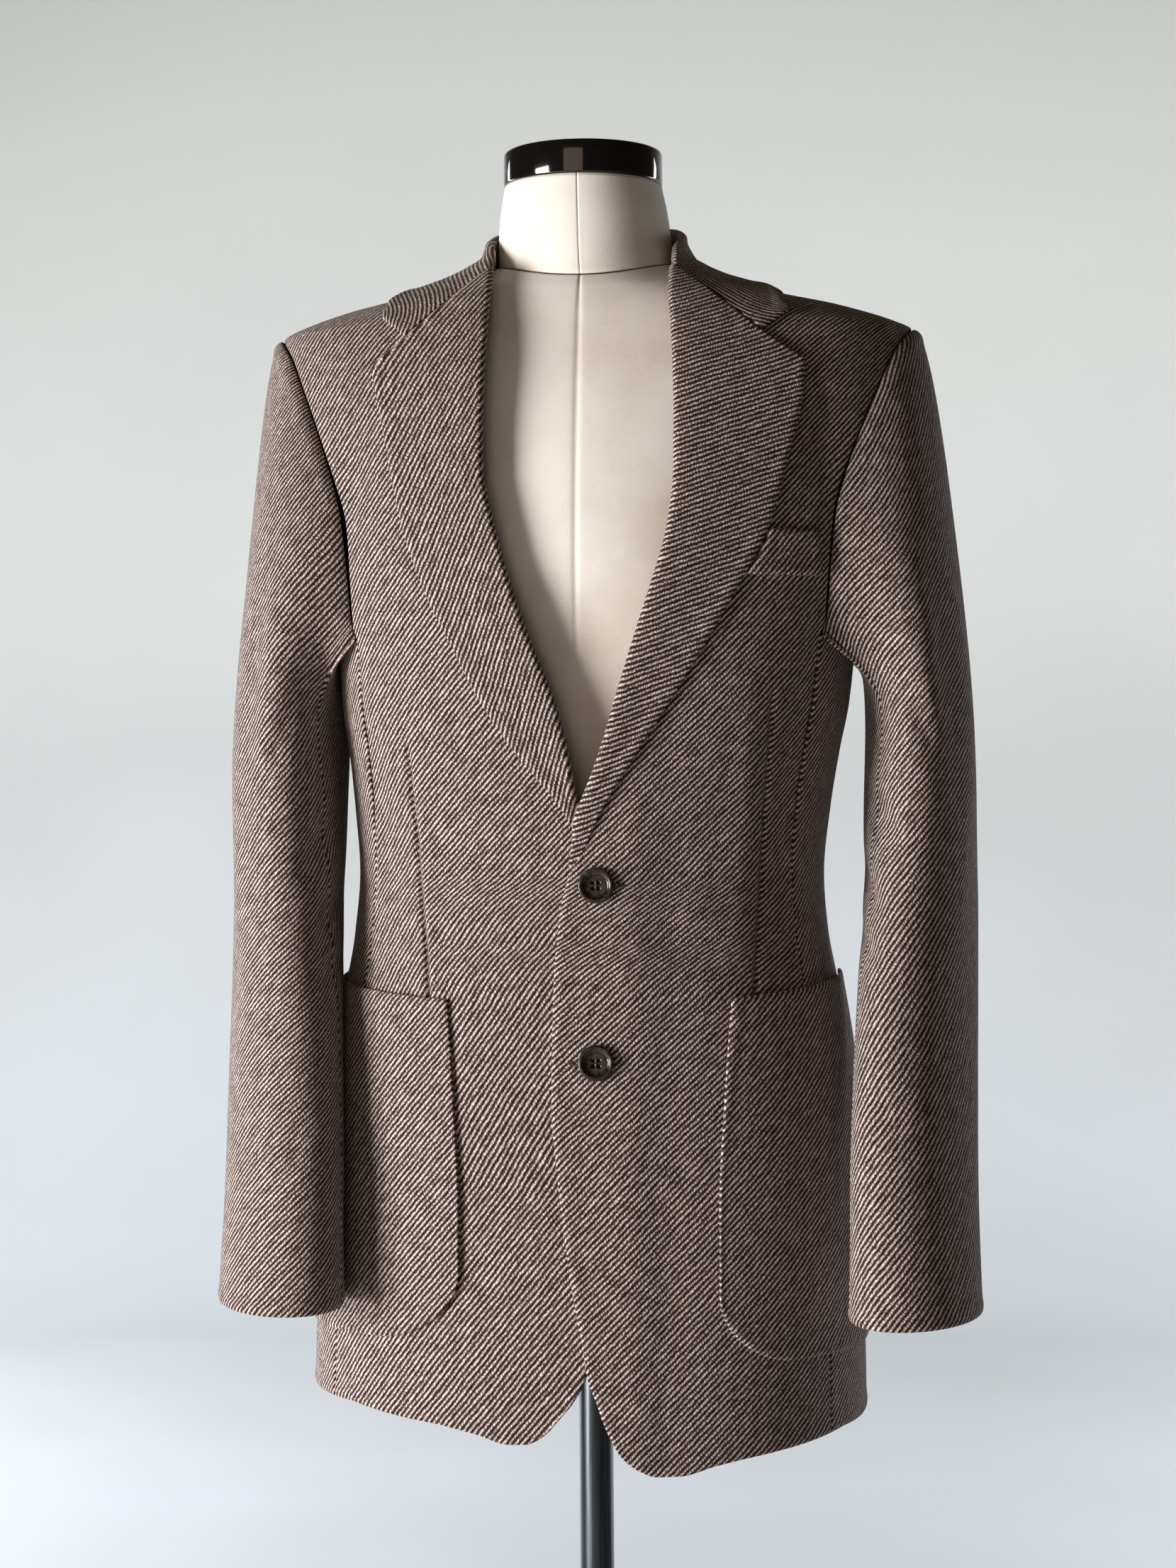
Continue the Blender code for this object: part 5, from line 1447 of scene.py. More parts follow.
def make_sleeves():
    """Both sleeves in two pieces each, with the soft roping of the head."""
    seams = 2 * math.pi * np.array(SLEEVE_SEAMS)
    beside = np.array(SEAM_COLUMNS) / SLEEVE_RADIUS
    turn = np.linspace(0, 2 * math.pi, SLEEVE_AROUND, endpoint=False)
    turn = np.concatenate([turn, *(seams[:, None] + beside), *(seams[:, None] - beside)])
    turn = np.unique(np.round(turn, 6))
    front, back = np.searchsorted(turn, seams - 1e-5)
    top = list(range(back, len(turn))) + list(range(0, front + 1))
    under = list(range(front, back + 1))
    cap_steps = spread_up(HEAD_REACH, HEAD_STEP) ** HEAD_CLOSER
    last = SLEEVE_END + np.array(EDGE_STEPS)[::-1]
    heights = np.linspace(*SLEEVE_ROWS)
    heights = np.concatenate([heights, last])
    for side, word in SIDES:
        grid = sleeve_face(side, turn, cap_steps, heights)
        normals = grid_normals(grid, wraps=True) * side
        table = [(math.radians(a) * CREASE_RADIUS, z0, math.radians(b) * CREASE_RADIUS, z1, wide, deep)
                 for a, z0, b, z1, wide, deep in SLEEVE_CREASES[side]]
        push = creased(turn * CREASE_RADIUS + 0 * grid[..., 0], grid[..., 2], table)
        push = push * fade(grid[..., 2], *CUFF_CALM)
        near_head = borders(grid)["first_row"]
        outside = fade(np.cos(turn) + 0 * near_head, *ROPING_OUTSIDE)
        push -= ROPING[0] * outside * np.exp(-((near_head - ROPING[1]) / ROPING[2]) ** 2)
        for name, columns in (("sleeve_top_", top), ("sleeve_under_", under)):
            piece = draw_in(grid[:, columns], SLEEVE_SEAM_GAP / 2, SLEEVE_SEAM_GAP / 2, SEAM_GAP)
            ring = len(cap_steps)
            flat = lay_flat_in_two(piece, normals[:, columns], len(columns) // 2, ring,
                                   slice(None, ring))
            cloth_piece(name + word, piece, normals[:, columns], TWILL_SLEEVE[side],
                        ("seam", "seam", "seam", "edge"),
                        flip=side < 0, creases=push[:, columns], flat=flat)
        place_cuff_buttons(side, word, grid, normals, top[0])


# --- buttons and buttonholes

def place_cuff_buttons(side, word, grid, normals, seam):
    """The buttons on a sleeve's back seam, up from the cuff, on the seam's rising rows."""
    line = grid[:-CUFF_SEARCH:-1, seam]
    line_normals = normals[:-CUFF_SEARCH:-1, seam]
    for number, up in enumerate(CUFF_BUTTON_UP):
        height = SLEEVE_END - side * CUFF_DROP + up
        place = [np.interp(height, line[:, 2], line[:, axis]) for axis in range(3)]
        normal = [np.interp(height, line[:, 2], line_normals[:, axis]) for axis in range(3)]
        make_button("sleeve_button_" + word + "_" + str(number + 1), place, normal,
                    CUFF_BUTTON_RADIUS, CUFF_BUTTON_THICKNESS)


def make_button(name, place, normal, radius, thickness):
    """A four-hole button: a turned profile with a raised rim and a dished middle, sunk at the
    holes and scored by four short radial grooves."""
    turn = np.linspace(0, 2 * math.pi, BUTTON_AROUND, endpoint=False)
    round_r = column(BUTTON_PROFILE, 0)[:, None] * radius
    high = column(BUTTON_PROFILE, 1)[:, None] * thickness + 0 * turn
    x = round_r * np.cos(turn)
    y = round_r * np.sin(turn)
    share = round_r / radius
    face = np.arange(len(BUTTON_PROFILE))[:, None] >= BUTTON_FACE
    for hole in range(4):
        at = math.radians(HOLE_TURN + 90 * hole)
        off = np.hypot(x - HOLE_OUT * radius * math.cos(at), y - HOLE_OUT * radius * math.sin(at))
        high = high - face * HOLE_DEPTH * thickness * np.exp(-(off / (HOLE_RADIUS * radius)) ** 4)
        groove = np.angle(np.exp(1j * (turn - math.radians(90 * hole + GROOVE_TURN)))) * round_r
        mark = np.exp(-(groove / (GROOVE_WIDTH * radius)) ** 2)
        band = fade(share, *GROOVE_INSIDE) * (1 - fade(share, *GROOVE_OUTSIDE))
        high = high - face * GROOVE_DEPTH * thickness * mark * band
    normal = np.array(normal) / np.linalg.norm(normal)
    across = unit(np.cross(np.array([0.0, 0.0, 1.0]), normal))
    upward = np.cross(normal, across)
    seat = np.array(place) + normal * BUTTON_GAP
    points = (seat + x[..., None] * across + y[..., None] * upward + high[..., None] * normal)
    made = turned_object(name, points, material_named("polished_horn"))
    stands_for(made, name)


def turned_object(name, rings, material):
    """A closed turned surface from rings of points, its two ends drawn to a pole."""
    made = fill_mesh(name, rings.reshape(-1, 3), ring_quads(*rings.shape[:2]), material)
    shape = bmesh.new()
    shape.from_mesh(made.data)
    bmesh.ops.remove_doubles(shape, verts=shape.verts, dist=2e-5)
    open_edges = [edge for edge in shape.edges if edge.is_boundary]
    if open_edges:
        bmesh.ops.holes_fill(shape, edges=open_edges, sides=0)
    shape.to_mesh(made.data)
    shape.free()
    made.data.shade_smooth()
    return made


def make_front_buttons():
    """The two front buttons, on the wearer's left front, each over one end of its buttonhole."""
    for name, height in zip(("front_button_upper", "front_button_lower"), BUTTON_HEIGHTS):
        place = front_point(np.array(BUTTON_X), np.array(height))
        normal = body_normal(place)
        lift = front_lift(1, np.array(BUTTON_X), np.array(height))
        make_button(name, place + normal * lift, normal, BUTTON_RADIUS, BUTTON_THICKNESS)


def make_buttonholes():
    """Buttonhole stitching: an oval ring of thread on the front, most of it under the button, one
    end standing out beside it. It is a tube round an ellipse, and its radius rises and falls as
    a cosine, once for each purl."""
    turn = np.linspace(0, 2 * math.pi, THREAD_POINTS[0], endpoint=False)
    ring = np.linspace(0, 2 * math.pi, THREAD_POINTS[1], endpoint=False)
    for name, height, inner, outer in BUTTONHOLES:
        x = BUTTON_X + (inner + outer) / 2 + (outer - inner) / 2 * np.cos(turn)
        z = height + BUTTONHOLE_HALF_HEIGHT * np.sin(turn)
        centre = front_point(x, z)
        normal = body_normal(centre)
        centre = centre + normal * (front_lift(1, x, z) + THREAD_LIFT)[:, None]
        way = unit(np.roll(centre, -1, axis=0) - np.roll(centre, 1, axis=0))
        beside = np.cross(way, normal)
        thick = THREAD_RADIUS * (1 + PURL_RISE * np.cos(turn * PURLS))
        tube = (centre[:, None] + thick[:, None, None]
                * (np.cos(ring)[:, None] * normal[:, None] + np.sin(ring)[:, None] * beside[:, None]))
        made = fill_mesh(name, tube.reshape(-1, 3), ring_quads(*tube.shape[:2], closed=True),
                         material_named("silk_thread"))
        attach(made, "root")


# --- dress form

def form_rings(sections, count_up, turn, squareness):
    """Rings of a form through its sections, each a superellipse whose height swings from its side
    height to its front or back height by the sine squared of the turn."""
    keys = np.linspace(0, 1, len(sections))
    table = [(key, *row) for key, row in zip(keys, sections)]
    at = np.linspace(0, 1, count_up)[:, None]
    front_z, side_z, back_z, wide, front, back = (smooth(table, index, at) for index in range(1, 7))
    power = 2 / squareness
    across = np.cos(turn)
    deep = np.sin(turn)
    x = wide * np.sign(across) * np.abs(across) ** power
    y = np.where(deep < 0, front, back) * np.sign(deep) * np.abs(deep) ** power
    end_z = np.where(deep < 0, front_z, back_z)
    return np.stack([x, y, side_z + (end_z - side_z) * deep ** 2], axis=-1)


def capped(rings):
    """Rings with both ends carried to a pole at their middle."""
    def pole(ring):
        middle = ring.mean(axis=0)
        return [middle + (ring - middle) * share for share in (0.5, 1e-5)]
    first = pole(rings[0])
    last = pole(rings[-1])
    return np.concatenate([[first[1], first[0]], rings, [last[0], last[1]]])


def seam_turns():
    """Turns round the form, closest together at its seams."""
    base = np.linspace(0, 2 * math.pi, ROUND_AROUND, endpoint=False)
    beside = np.radians(FORM_SEAM_TURNS)
    turns = np.concatenate([base] + [centre + beside for centre in np.radians(FORM_SEAMS)])
    return np.unique(np.round(turns, 6))


def make_form():
    """Torso and neck of the dress form, padded canvas with sunk seams down the front, the back
    and one side, and round the foot of the neck."""
    turn = seam_turns()
    torso = form_rings(FORM_SECTIONS, TORSO_RINGS, turn, FORM_SQUARENESS)
    neck_rows = [(*row[:3], row[3], row[3], row[3]) for row in NECK_SECTIONS]
    neck = form_rings(neck_rows, NECK_RINGS, turn, 2.0)
    keys = np.linspace(0, 1, len(NECK_SECTIONS))
    centres = [(key, row[4]) for key, row in zip(keys, NECK_SECTIONS)]
    neck[..., 0] += smooth(centres, 1, np.linspace(0, 1, NECK_RINGS))[:, None]
    for name, rings in (("form_torso", torso), ("form_neck", neck)):
        normals = grid_normals(rings, wraps=True)
        at_seam = np.zeros(rings.shape[:2])
        for centre in np.radians(FORM_SEAMS):
            off = np.abs(np.angle(np.exp(1j * (turn - centre)))) * FORM_RADIUS
            at_seam = np.maximum(at_seam, np.exp(-(off / FORM_SEAM_WIDTH) ** 2))
        end = borders(rings)["last_row" if name == "form_torso" else "first_row"]
        at_neck = np.clip(1 - end / NECK_SEAM_WIDTH, 0, 1) ** 2
        sink = FORM_SEAM_DEPTH * at_seam + NECK_SEAM_DEPTH * at_neck
        rings = rings - normals * sink[..., None]
        made = turned_object(name, capped(rings), material_named("cotton_canvas"))
        stands_for(made, name)


def turned_profile(name, profile, centre_x, around, material):
    """A turned solid from a (radius, height) profile."""
    turn = np.linspace(0, 2 * math.pi, around, endpoint=False)
    radius = column(profile, 0)[:, None]
    rings = np.stack([centre_x + radius * np.cos(turn), radius * np.sin(turn),
                      column(profile, 1)[:, None] + 0 * turn], axis=-1)
    made = turned_object(name, capped(rings), material_named(material))
    made.data.set_sharp_from_angle(angle=math.radians(50))
    stands_for(made, name)


def rounded_corner(radius, height, corner):
    """Profile of a turned solid's upper corner: a quarter circle."""
    return [(radius - corner + corner * math.cos(a), height - corner + corner * math.sin(a))
            for a in np.linspace(0, math.pi / 2, 7)]


def make_stand():
    """Neck cap, pole and base, turned with small rounded edges."""
    low, high = CAP_HEIGHTS
    cap = [(CAP_RADIUS - 0.001, low), (CAP_RADIUS - 0.0003, low + 0.0004),
           (CAP_RADIUS, low + 0.0012)] + rounded_corner(CAP_RADIUS, high, 0.0025)
    turned_profile("neck_cap", cap, CAP_X, CAP_AROUND, "black_lacquer_gloss")
    foot = BASE_THICKNESS + SEAM_GAP
    top = FORM_BOTTOM - SEAM_GAP
    pole = [(POLE_RADIUS, foot + share * (top - foot)) for share in np.linspace(0, 1, 24)]
    turned_profile("pole", pole, 0.0, POLE_AROUND, "satin_steel")
    base = [(BASE_RADIUS - 0.0015, 0.0), (BASE_RADIUS, 0.0015)]
    base = base + rounded_corner(BASE_RADIUS, BASE_THICKNESS, 0.004)
    turned_profile("base", base, 0.0, ROUND_AROUND, "satin_steel")


# --- materials

def linear(hex_colour):
    """An sRGB hex colour as linear RGBA: ((c + 0.055) / 1.055)^2.4, or c / 12.92 when dark."""
    parts = [int(hex_colour[i:i + 2], 16) / 255 for i in (0, 2, 4)]
    parts = [c / 12.92 if c <= 0.04045 else ((c + 0.055) / 1.055) ** 2.4 for c in parts]
    return (*parts, 1.0)


def add_node(tree, kind, settings=None, values=None, links=None):
    """A node of a kind with its settings, its sockets' values and the links into its sockets."""
    made = tree.nodes.new(kind)
    for name, value in (settings or {}).items():
        setattr(made, name, value)
    for socket, value in (values or {}).items():
        made.inputs[socket].default_value = value
    for socket, source in (links or {}).items():
        tree.links.new(source, made.inputs[socket])
    return made


def new_material(name):
    """An empty material, its tree and its shader."""
    material = bpy.data.materials.new(name)
    material.use_nodes = True
    tree = material.node_tree
    return material, tree, tree.nodes["Principled BSDF"]


def math_node(tree, operation, *items):
    """The output of a Math node on sockets or numbers."""
    values = {index: item for index, item in enumerate(items) if isinstance(item, (int, float))}
    links = {index: item for index, item in enumerate(items) if index not in values}
    return add_node(tree, "ShaderNodeMath", {"operation": operation}, values, links).outputs[0]


def noise(tree, place, scale, detail, **more):
    """The factor of a noise texture at a place."""
    values = {"Scale": scale, "Detail": detail, **more}
    return add_node(tree, "ShaderNodeTexNoise", values=values, links={"Vector": place}).outputs["Fac"]


def stretched(tree, place, scale, turn=(0.0, 0.0, 0.0)):
    """A place turned and then stretched along its axes."""
    return add_node(tree, "ShaderNodeMapping", values={"Scale": scale, "Rotation": turn},
                    links={"Vector": place}).outputs["Vector"]


def ramp_node(tree, factor, stops):
    """A colour ramp's output through (place, hex colour) stops."""
    made = add_node(tree, "ShaderNodeValToRGB", links={"Fac": factor})
    ramp = made.color_ramp
    while len(ramp.elements) < len(stops):
        ramp.elements.new(0.5)
    for element, (place, colour) in zip(ramp.elements, stops):
        element.position = place
        element.color = linear(colour)
    return made.outputs["Color"]


def raise_by(tree, shader, height, strength, distance):
    """Links a bump of a height in 0 to 1 times a distance into a shader."""
    bump = add_node(tree, "ShaderNodeBump", values={"Strength": strength, "Distance": distance},
                    links={"Height": height})
    tree.links.new(bump.outputs["Normal"], shader.inputs["Normal"])


def vary_roughness(tree, shader, factor, low, high):
    """Roughness between two values by a factor."""
    rough = add_node(tree, "ShaderNodeMapRange", values={"To Min": low, "To Max": high},
                     links={"Value": factor}).outputs["Result"]
    tree.links.new(rough, shader.inputs["Roughness"])


def set_values(shader, values):
    """Sets the values of a shader's sockets."""
    for socket, value in values.items():
        shader.inputs[socket].default_value = value


def woollen_twill():
    """Woollen tweed in a coarse 2/2 twill of cream and dark brown yarns, milled a little: matt, with
    round rope-like ridges, broken by the yarn's turns, and a soft nap that lightens its rims. Its
    colour follows the ridges' relief: painted shade in the valleys and between the yarn's turns,
    and painted light on their crests, over the yarns' own cream and brown."""
    cloth = bpy.context.scene.jacket_cloth
    material, tree, shader = new_material("woollen_twill")
    flat = add_node(tree, "ShaderNodeUVMap", {"uv_map": "flat_cut"}).outputs["UV"]
    split = add_node(tree, "ShaderNodeSeparateXYZ", links={0: flat})
    # ridges waver over millimetres and centimetres, and each is the half sine of its place across
    across = math_node(tree, "DIVIDE", split.outputs["Y"], cloth.pitch)
    across = math_node(tree, "MULTIPLY_ADD", noise(tree, flat, 55.0, 2.0), 0.5, across)
    across = math_node(tree, "MULTIPLY_ADD", noise(tree, flat, 300.0, 2.0), 0.42, across)
    row = math_node(tree, "FLOOR", across)
    place = math_node(tree, "FRACT", across)
    ridge = math_node(tree, "SINE", math_node(tree, "MULTIPLY", place, math.pi))
    # the yarn's turns lean across each ridge, start anywhere on it and are uneven
    own = add_node(tree, "ShaderNodeTexWhiteNoise", {"noise_dimensions": "1D"},
                   links={"W": row}).outputs["Value"]
    turns = math_node(tree, "DIVIDE", split.outputs["X"], YARN_TURN)
    turns = math_node(tree, "ADD", turns, math_node(tree, "MULTIPLY", own, 7.0))
    turns = math_node(tree, "MULTIPLY_ADD", place, -0.55, turns)
    turns = math_node(tree, "MULTIPLY_ADD", noise(tree, flat, 210.0, 1.0), 2.6, turns)
    yarn = math_node(tree, "COSINE", math_node(tree, "MULTIPLY", turns, 2 * math.pi))
    yarn = math_node(tree, "MULTIPLY_ADD", yarn, 0.5, 0.5)
    # fibres run nearly along the ridges, and slubs are long thick places of the yarn
    along = stretched(tree, flat, (620.0, 1250.0, 1.0), (0.0, 0.0, 0.35))
    fibre = noise(tree, along, 1.0, 4.0, Roughness=0.72)
    slub = noise(tree, stretched(tree, flat, (90.0, 340.0, 1.0)), 1.0, 1.0)
    # the colour is darkest in the valleys and between the turns and lightest on their crests: painted
    # shade and painted light laid over the two yarns' colours
    tone = math_node(tree, "POWER", ridge, 1.9)
    tone = math_node(tree, "MULTIPLY", tone, math_node(tree, "MULTIPLY_ADD", yarn, 0.30, 0.70))
    tone = math_node(tree, "MULTIPLY_ADD", math_node(tree, "SUBTRACT", fibre, 0.5), 1.7, tone)
    tone = math_node(tree, "MULTIPLY_ADD", math_node(tree, "SUBTRACT", slub, 0.5), 0.55, tone)
    colour = ramp_node(tree, tone, ((0.05, cloth.dark_yarn_and_valley_shade), (0.52, cloth.mid_yarn),
                                    (1.0, cloth.light_yarn_and_crest_light)))
    high = math_node(tree, "MULTIPLY", ridge, math_node(tree, "MULTIPLY_ADD", yarn, 0.40, 0.60))
    high = math_node(tree, "MULTIPLY_ADD", fibre, 0.70, high)
    tree.links.new(colour, shader.inputs["Base Color"])
    raise_by(tree, shader, high, 0.85, cloth.relief)
    set_values(shader, {"Roughness": 0.92, "Specular IOR Level": 0.25, "Sheen Weight": 0.22,
                        "Sheen Roughness": 0.45, "Sheen Tint": linear("d8cbc0")})
    return material


def silk_thread():
    """Buttonhole twist, a hard spun silk or polyester thread: dark brown with a faint lustre."""
    material, tree, shader = new_material("silk_thread")
    place = add_node(tree, "ShaderNodeTexCoord").outputs["Object"]
    colour = ramp_node(tree, noise(tree, place, 2600.0, 2.0), ((0.3, "241a16"), (0.7, "5b4a41")))
    tree.links.new(colour, shader.inputs["Base Color"])
    set_values(shader, {"Roughness": 0.55})
    return material


def polished_horn():
    """Buffalo horn, turned and polished: near black with brown streaks and a clear gloss that is
    duller where the streaks are pale."""
    cloth = bpy.context.scene.jacket_cloth
    material, tree, shader = new_material("polished_horn")
    place = add_node(tree, "ShaderNodeTexCoord").outputs["Object"]
    streak = stretched(tree, place, (190.0, 190.0, 420.0), (0.3, 0.0, 0.6))
    grain = noise(tree, streak, 1.0, 4.0, Distortion=1.2)
    colour = ramp_node(tree, grain, ((0.36, "0d0908"), (0.54, cloth.horn), (0.70, "3d2c26"),
                                     (0.86, "6e584a")))
    tree.links.new(colour, shader.inputs["Base Color"])
    vary_roughness(tree, shader, grain, 0.14, 0.28)
    return material


def cotton_canvas():
    """Undyed cotton canvas, plain woven and stretched over padding: matt ivory with a fine thread
    every 0.35 mm and faint broad blotches, a little lighter and darker at random."""
    form = bpy.context.scene.form_finish
    material, tree, shader = new_material("cotton_canvas")
    place = add_node(tree, "ShaderNodeTexCoord").outputs["Object"]
    split = add_node(tree, "ShaderNodeSeparateXYZ", links={0: place})
    slant = math_node(tree, "MULTIPLY_ADD", split.outputs["Y"], 0.6, split.outputs["X"])
    warp, weft = (math_node(tree, "SINE", math_node(tree, "MULTIPLY", way, math.pi / CANVAS_THREAD))
                  for way in (slant, split.outputs["Z"]))
    weave = math_node(tree, "MULTIPLY", warp, weft)
    slub = noise(tree, place, 900.0, 2.0)
    tone = math_node(tree, "MULTIPLY_ADD", weave, 0.06, noise(tree, place, 14.0, 4.0))
    tone = math_node(tree, "MULTIPLY_ADD", math_node(tree, "SUBTRACT", slub, 0.5), 0.25, tone)
    colour = ramp_node(tree, tone, ((0.25, "d9d1c0"), (0.58, form.canvas), (0.85, "f6f2e8")))
    tree.links.new(colour, shader.inputs["Base Color"])
    raise_by(tree, shader, math_node(tree, "MULTIPLY_ADD", slub, 0.6, weave), 0.25, 0.0002)
    set_values(shader, {"Roughness": 0.86, "Sheen Weight": 0.10})
    return material


def black_lacquer_gloss():
    """Sprayed black lacquer on turned wood: deep black with mirror gloss and slight orange peel."""
    form = bpy.context.scene.form_finish
    material, tree, shader = new_material("black_lacquer_gloss")
    place = add_node(tree, "ShaderNodeTexCoord").outputs["Object"]
    peel = noise(tree, place, 160.0, 1.0)
    tree.links.new(ramp_node(tree, peel, ((0.3, "080707"), (0.7, form.lacquer))),
                   shader.inputs["Base Color"])
    raise_by(tree, shader, peel, 0.04, 0.0004)
    set_values(shader, {"Roughness": 0.09, "Coat Weight": 0.6, "Coat Roughness": 0.03})
    return material


def satin_steel():
    """Drawn steel tube with a dark satin plating: metal, with fine lines along the drawing."""
    form = bpy.context.scene.form_finish
    material, tree, shader = new_material("satin_steel")
    place = add_node(tree, "ShaderNodeTexCoord").outputs["Object"]
    grain = noise(tree, stretched(tree, place, (900.0, 900.0, 14.0)), 1.0, 2.0)
    tree.links.new(ramp_node(tree, grain, ((0.3, "3c4045"), (0.7, form.steel))),
                   shader.inputs["Base Color"])
    vary_roughness(tree, shader, grain, 0.22, 0.36)
    set_values(shader, {"Metallic": 1.0})
    return material


def painted_wall():
    """Matt emulsion on plaster and a matt floor: pale, a little cooler towards the floor, with a
    faint mottle from the roller. Its colour is paler at the floor and higher up and greyer between:
    painted light."""
    look = bpy.context.scene.stage_look
    material, tree, shader = new_material("painted_wall")
    place = add_node(tree, "ShaderNodeTexCoord").outputs["Object"]
    split = add_node(tree, "ShaderNodeSeparateXYZ", links={0: place})
    # the colour grades with height, paler at the floor and higher up and greyer between: painted light
    tone = math_node(tree, "MULTIPLY_ADD", split.outputs["Z"], 0.17, 0.196)
    tone = math_node(tree, "MULTIPLY_ADD", noise(tree, place, 0.75, 3.0), 0.25, tone)
    colour = ramp_node(tree, tone, ((0.26, look.floor), (0.50, look.wall), (0.78, look.top)))
    tree.links.new(colour, shader.inputs["Base Color"])
    set_values(shader, {"Roughness": 0.95})
    return material


MAKERS = {maker.__name__: maker for maker in (woollen_twill, silk_thread, polished_horn,
          cotton_canvas, black_lacquer_gloss, satin_steel, painted_wall)}


def material_named(name):
    """The material of that name, made the first time it is asked for."""
    return bpy.data.materials.get(name) or MAKERS[name]()


# --- stage

def make_backdrop():
    """A floor that sweeps up into a wall behind the form: a quarter circle between two planes."""
    sweep = np.linspace(0, math.pi / 2, 24)
    wall = SWEEP_FOOT + SWEEP_RADIUS
    y = np.concatenate([[BACKDROP_FRONT], SWEEP_FOOT + SWEEP_RADIUS * np.sin(sweep), [wall]])
    z = np.concatenate([[0.0], SWEEP_RADIUS - SWEEP_RADIUS * np.cos(sweep), [WALL_HEIGHT]])
    z = z - BELOW_BASE
    x = np.array([-BACKDROP_SIDE, BACKDROP_SIDE])
    grid = np.stack([x + 0 * y[:, None], y[:, None] + 0 * x, z[:, None] + 0 * x], axis=-1)
    made = fill_mesh("floor", grid.reshape(-1, 3), quads_of(len(y), 2),
                     material_named("painted_wall"))


def add_area(name, place, target, size, power, colour):
    """A rectangular area light that faces a target."""
    light = bpy.data.lights.new(name, "AREA")
    light.shape = "RECTANGLE"
    light.size = size[0]
    light.size_y = size[1]
    light.energy = power
    light.color = linear(colour)[:3]
    made = bpy.data.objects.new(name, light)
    bpy.context.scene.collection.objects.link(made)
    made.location = place
    way = np.array(target) - np.array(place)
    level = math.hypot(way[0], way[1])
    made.rotation_euler = (math.atan2(level, -way[2]), 0.0, -math.atan2(way[0], way[1]))


def make_stage():
    """Camera level with the foot of the lapels, a soft window light on the viewer's left, a dim warm
    fill from the front, two lights on the wall and a dim warm world."""
    look = bpy.context.scene.stage_look
    data = bpy.data.cameras.new("camera")
    data.sensor_width = SENSOR
    data.lens = SENSOR * FOCAL_LENGTH / FRAME_HEIGHT
    data.shift_x = FRAME_SHIFT / FRAME_HEIGHT
    data.clip_end = 50.0
    camera = bpy.data.objects.new("camera", data)
    bpy.context.scene.collection.objects.link(camera)
    camera.location = (look.distance * math.sin(look.azimuth),
                       -look.distance * math.cos(look.azimuth), look.eye)
    camera.rotation_mode = "XYZ"
    camera.rotation_euler = (math.pi / 2, math.radians(CAMERA_ROLL), look.azimuth)
    bpy.context.scene.camera = camera
    make_backdrop()
    for name, place, target, size, share, colour in LIGHTS:
        add_area(name, place, target, size, look.key * share, colour)
    world = bpy.data.worlds.new("studio")
    world.use_nodes = True
    background = world.node_tree.nodes["Background"]
    background.inputs["Color"].default_value = linear(WORLD_COLOUR)
    background.inputs["Strength"].default_value = WORLD_STRENGTH
    bpy.context.scene.world = world
    bpy.context.scene.view_settings.view_transform = "Standard"


# --- operators and panel

class JACKET_OT_body(bpy.types.Operator):
    """Fronts with their darts, backs and side panels"""
    bl_idname = "jacket.body"
    bl_label = "Jacket body"

    def execute(self, context):
        make_fronts()
        make_backs()
        make_sides()
        return {"FINISHED"}


class JACKET_OT_lapels(bpy.types.Operator):
    """Rolled lapels, collar and collar stand"""
    bl_idname = "jacket.lapels"
    bl_label = "Lapels and collar"

    def execute(self, context):
        make_lapels()
        make_collar()
        return {"FINISHED"}


class JACKET_OT_pockets(bpy.types.Operator):
    """Patch pockets and the breast welt"""
    bl_idname = "jacket.pockets"
    bl_label = "Pockets"

    def execute(self, context):
        make_pockets()
        make_welt()
        return {"FINISHED"}


class JACKET_OT_sleeves(bpy.types.Operator):
    """Two-piece sleeves with their cuff buttons"""
    bl_idname = "jacket.sleeves"
    bl_label = "Sleeves"

    def execute(self, context):
        make_sleeves()
        return {"FINISHED"}


class JACKET_OT_buttons(bpy.types.Operator):
    """Front buttons and buttonholes"""
    bl_idname = "jacket.buttons"
    bl_label = "Front buttons"

    def execute(self, context):
        make_front_buttons()
        make_buttonholes()
        return {"FINISHED"}


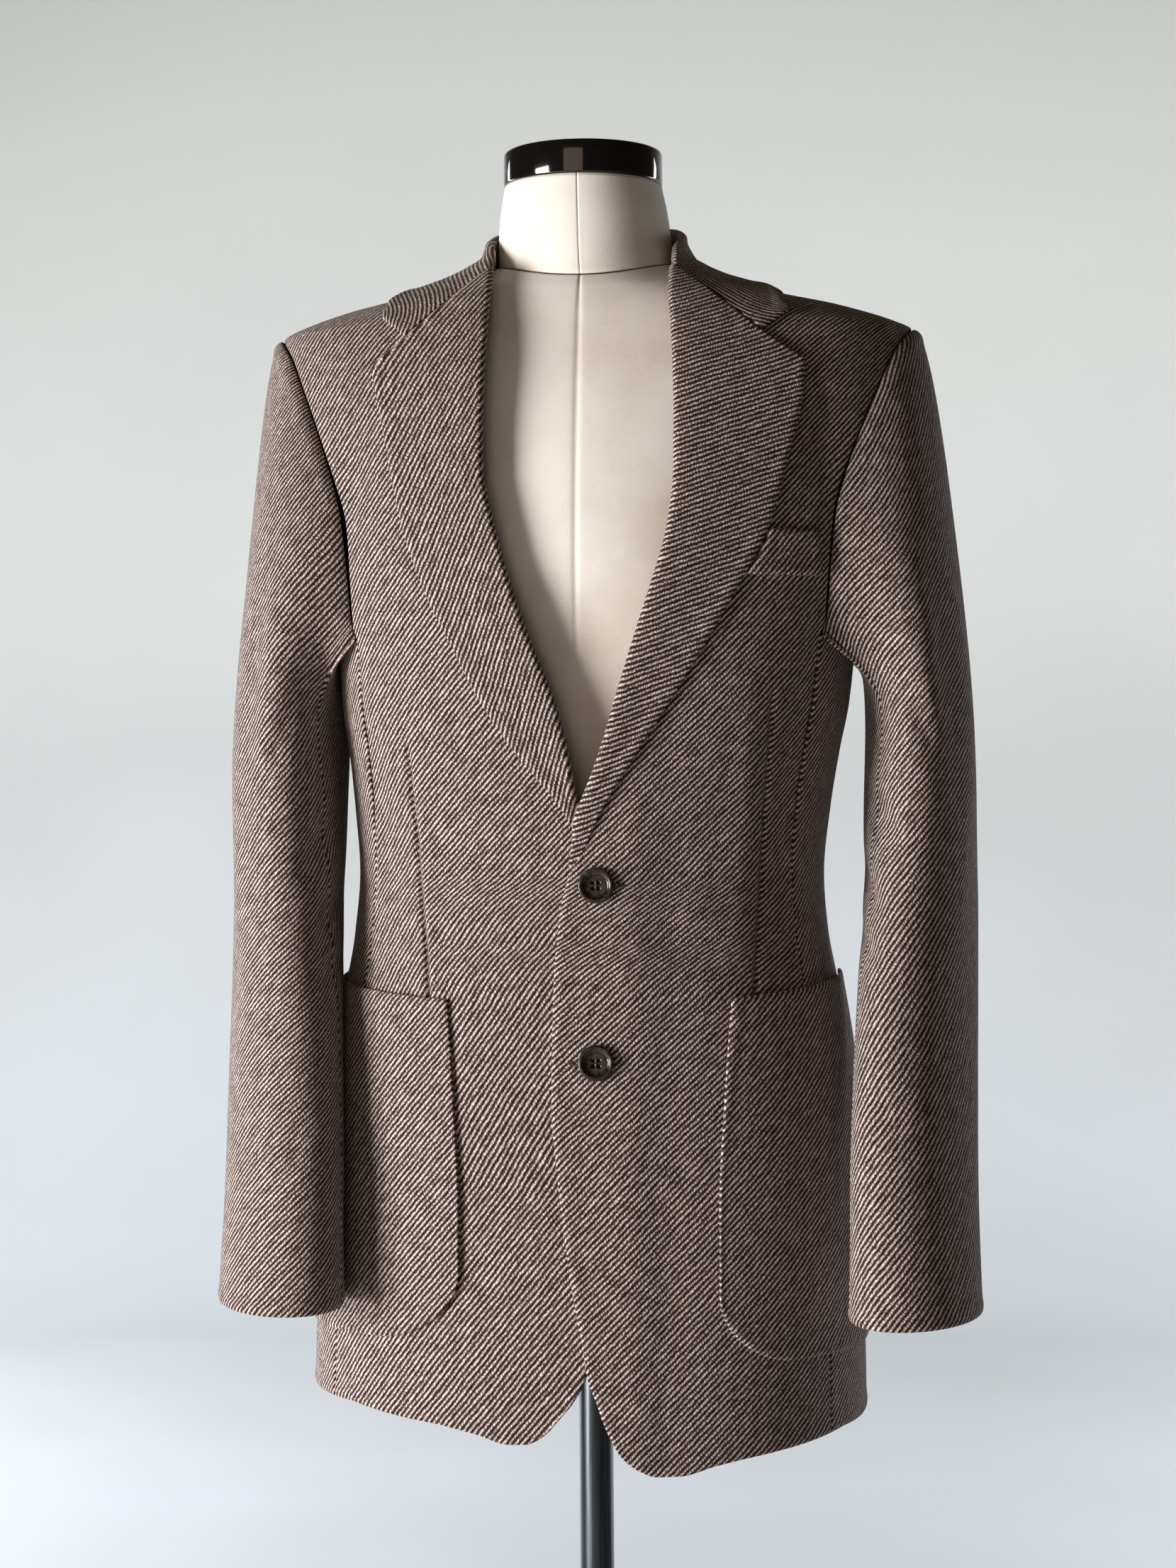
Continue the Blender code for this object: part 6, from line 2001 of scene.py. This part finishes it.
class JACKET_OT_form(bpy.types.Operator):
    """Dress form with its cap, pole and base"""
    bl_idname = "jacket.form"
    bl_label = "Dress form"

    def execute(self, context):
        make_form()
        make_stand()
        return {"FINISHED"}


class JACKET_OT_stage(bpy.types.Operator):
    """Floor, wall, lights and camera"""
    bl_idname = "jacket.stage"
    bl_label = "Stage"

    def execute(self, context):
        make_stage()
        return {"FINISHED"}


OPERATORS = (JACKET_OT_stage, JACKET_OT_form, JACKET_OT_body, JACKET_OT_lapels,
             JACKET_OT_pockets, JACKET_OT_sleeves, JACKET_OT_buttons)


class JACKET_PT_panel(bpy.types.Panel):
    """Lists the jacket's settings and operators"""
    bl_label = "Tweed jacket"
    bl_idname = "JACKET_PT_panel"
    bl_space_type = "VIEW_3D"
    bl_region_type = "UI"
    bl_category = "Jacket"

    def draw(self, context):
        for settings, names in ((context.scene.jacket_cloth, ("light_yarn_and_crest_light", "mid_yarn",
                                 "dark_yarn_and_valley_shade", "horn", "pitch", "relief")),
                                (context.scene.form_finish, ("canvas", "lacquer", "steel")),
                                (context.scene.stage_look, ("azimuth", "distance", "eye", "key",
                                                            "top", "wall", "floor"))):
            for name in names:
                self.layout.prop(settings, name)
        for operator in OPERATORS:
            self.layout.operator(operator.bl_idname)


SETTINGS = (("jacket_cloth", JacketCloth), ("form_finish", FormFinish),
            ("stage_look", StageLook))


def register():
    """Registers the classes and hangs the settings on the scene."""
    for name, group in SETTINGS:
        bpy.utils.register_class(group)
        setattr(bpy.types.Scene, name, bpy.props.PointerProperty(type=group))
    for made in OPERATORS + (JACKET_PT_panel,):
        bpy.utils.register_class(made)


def unregister():
    """Takes the classes and settings away again."""
    for made in reversed(OPERATORS + (JACKET_PT_panel,)):
        bpy.utils.unregister_class(made)
    for name, group in reversed(SETTINGS):
        delattr(bpy.types.Scene, name)
        bpy.utils.unregister_class(group)


def main():
    register()
    bpy.ops.jacket.stage()
    bpy.ops.jacket.form()
    bpy.ops.jacket.body()
    bpy.ops.jacket.lapels()
    bpy.ops.jacket.pockets()
    bpy.ops.jacket.sleeves()
    bpy.ops.jacket.buttons()


if __name__ == "__main__":
    main()
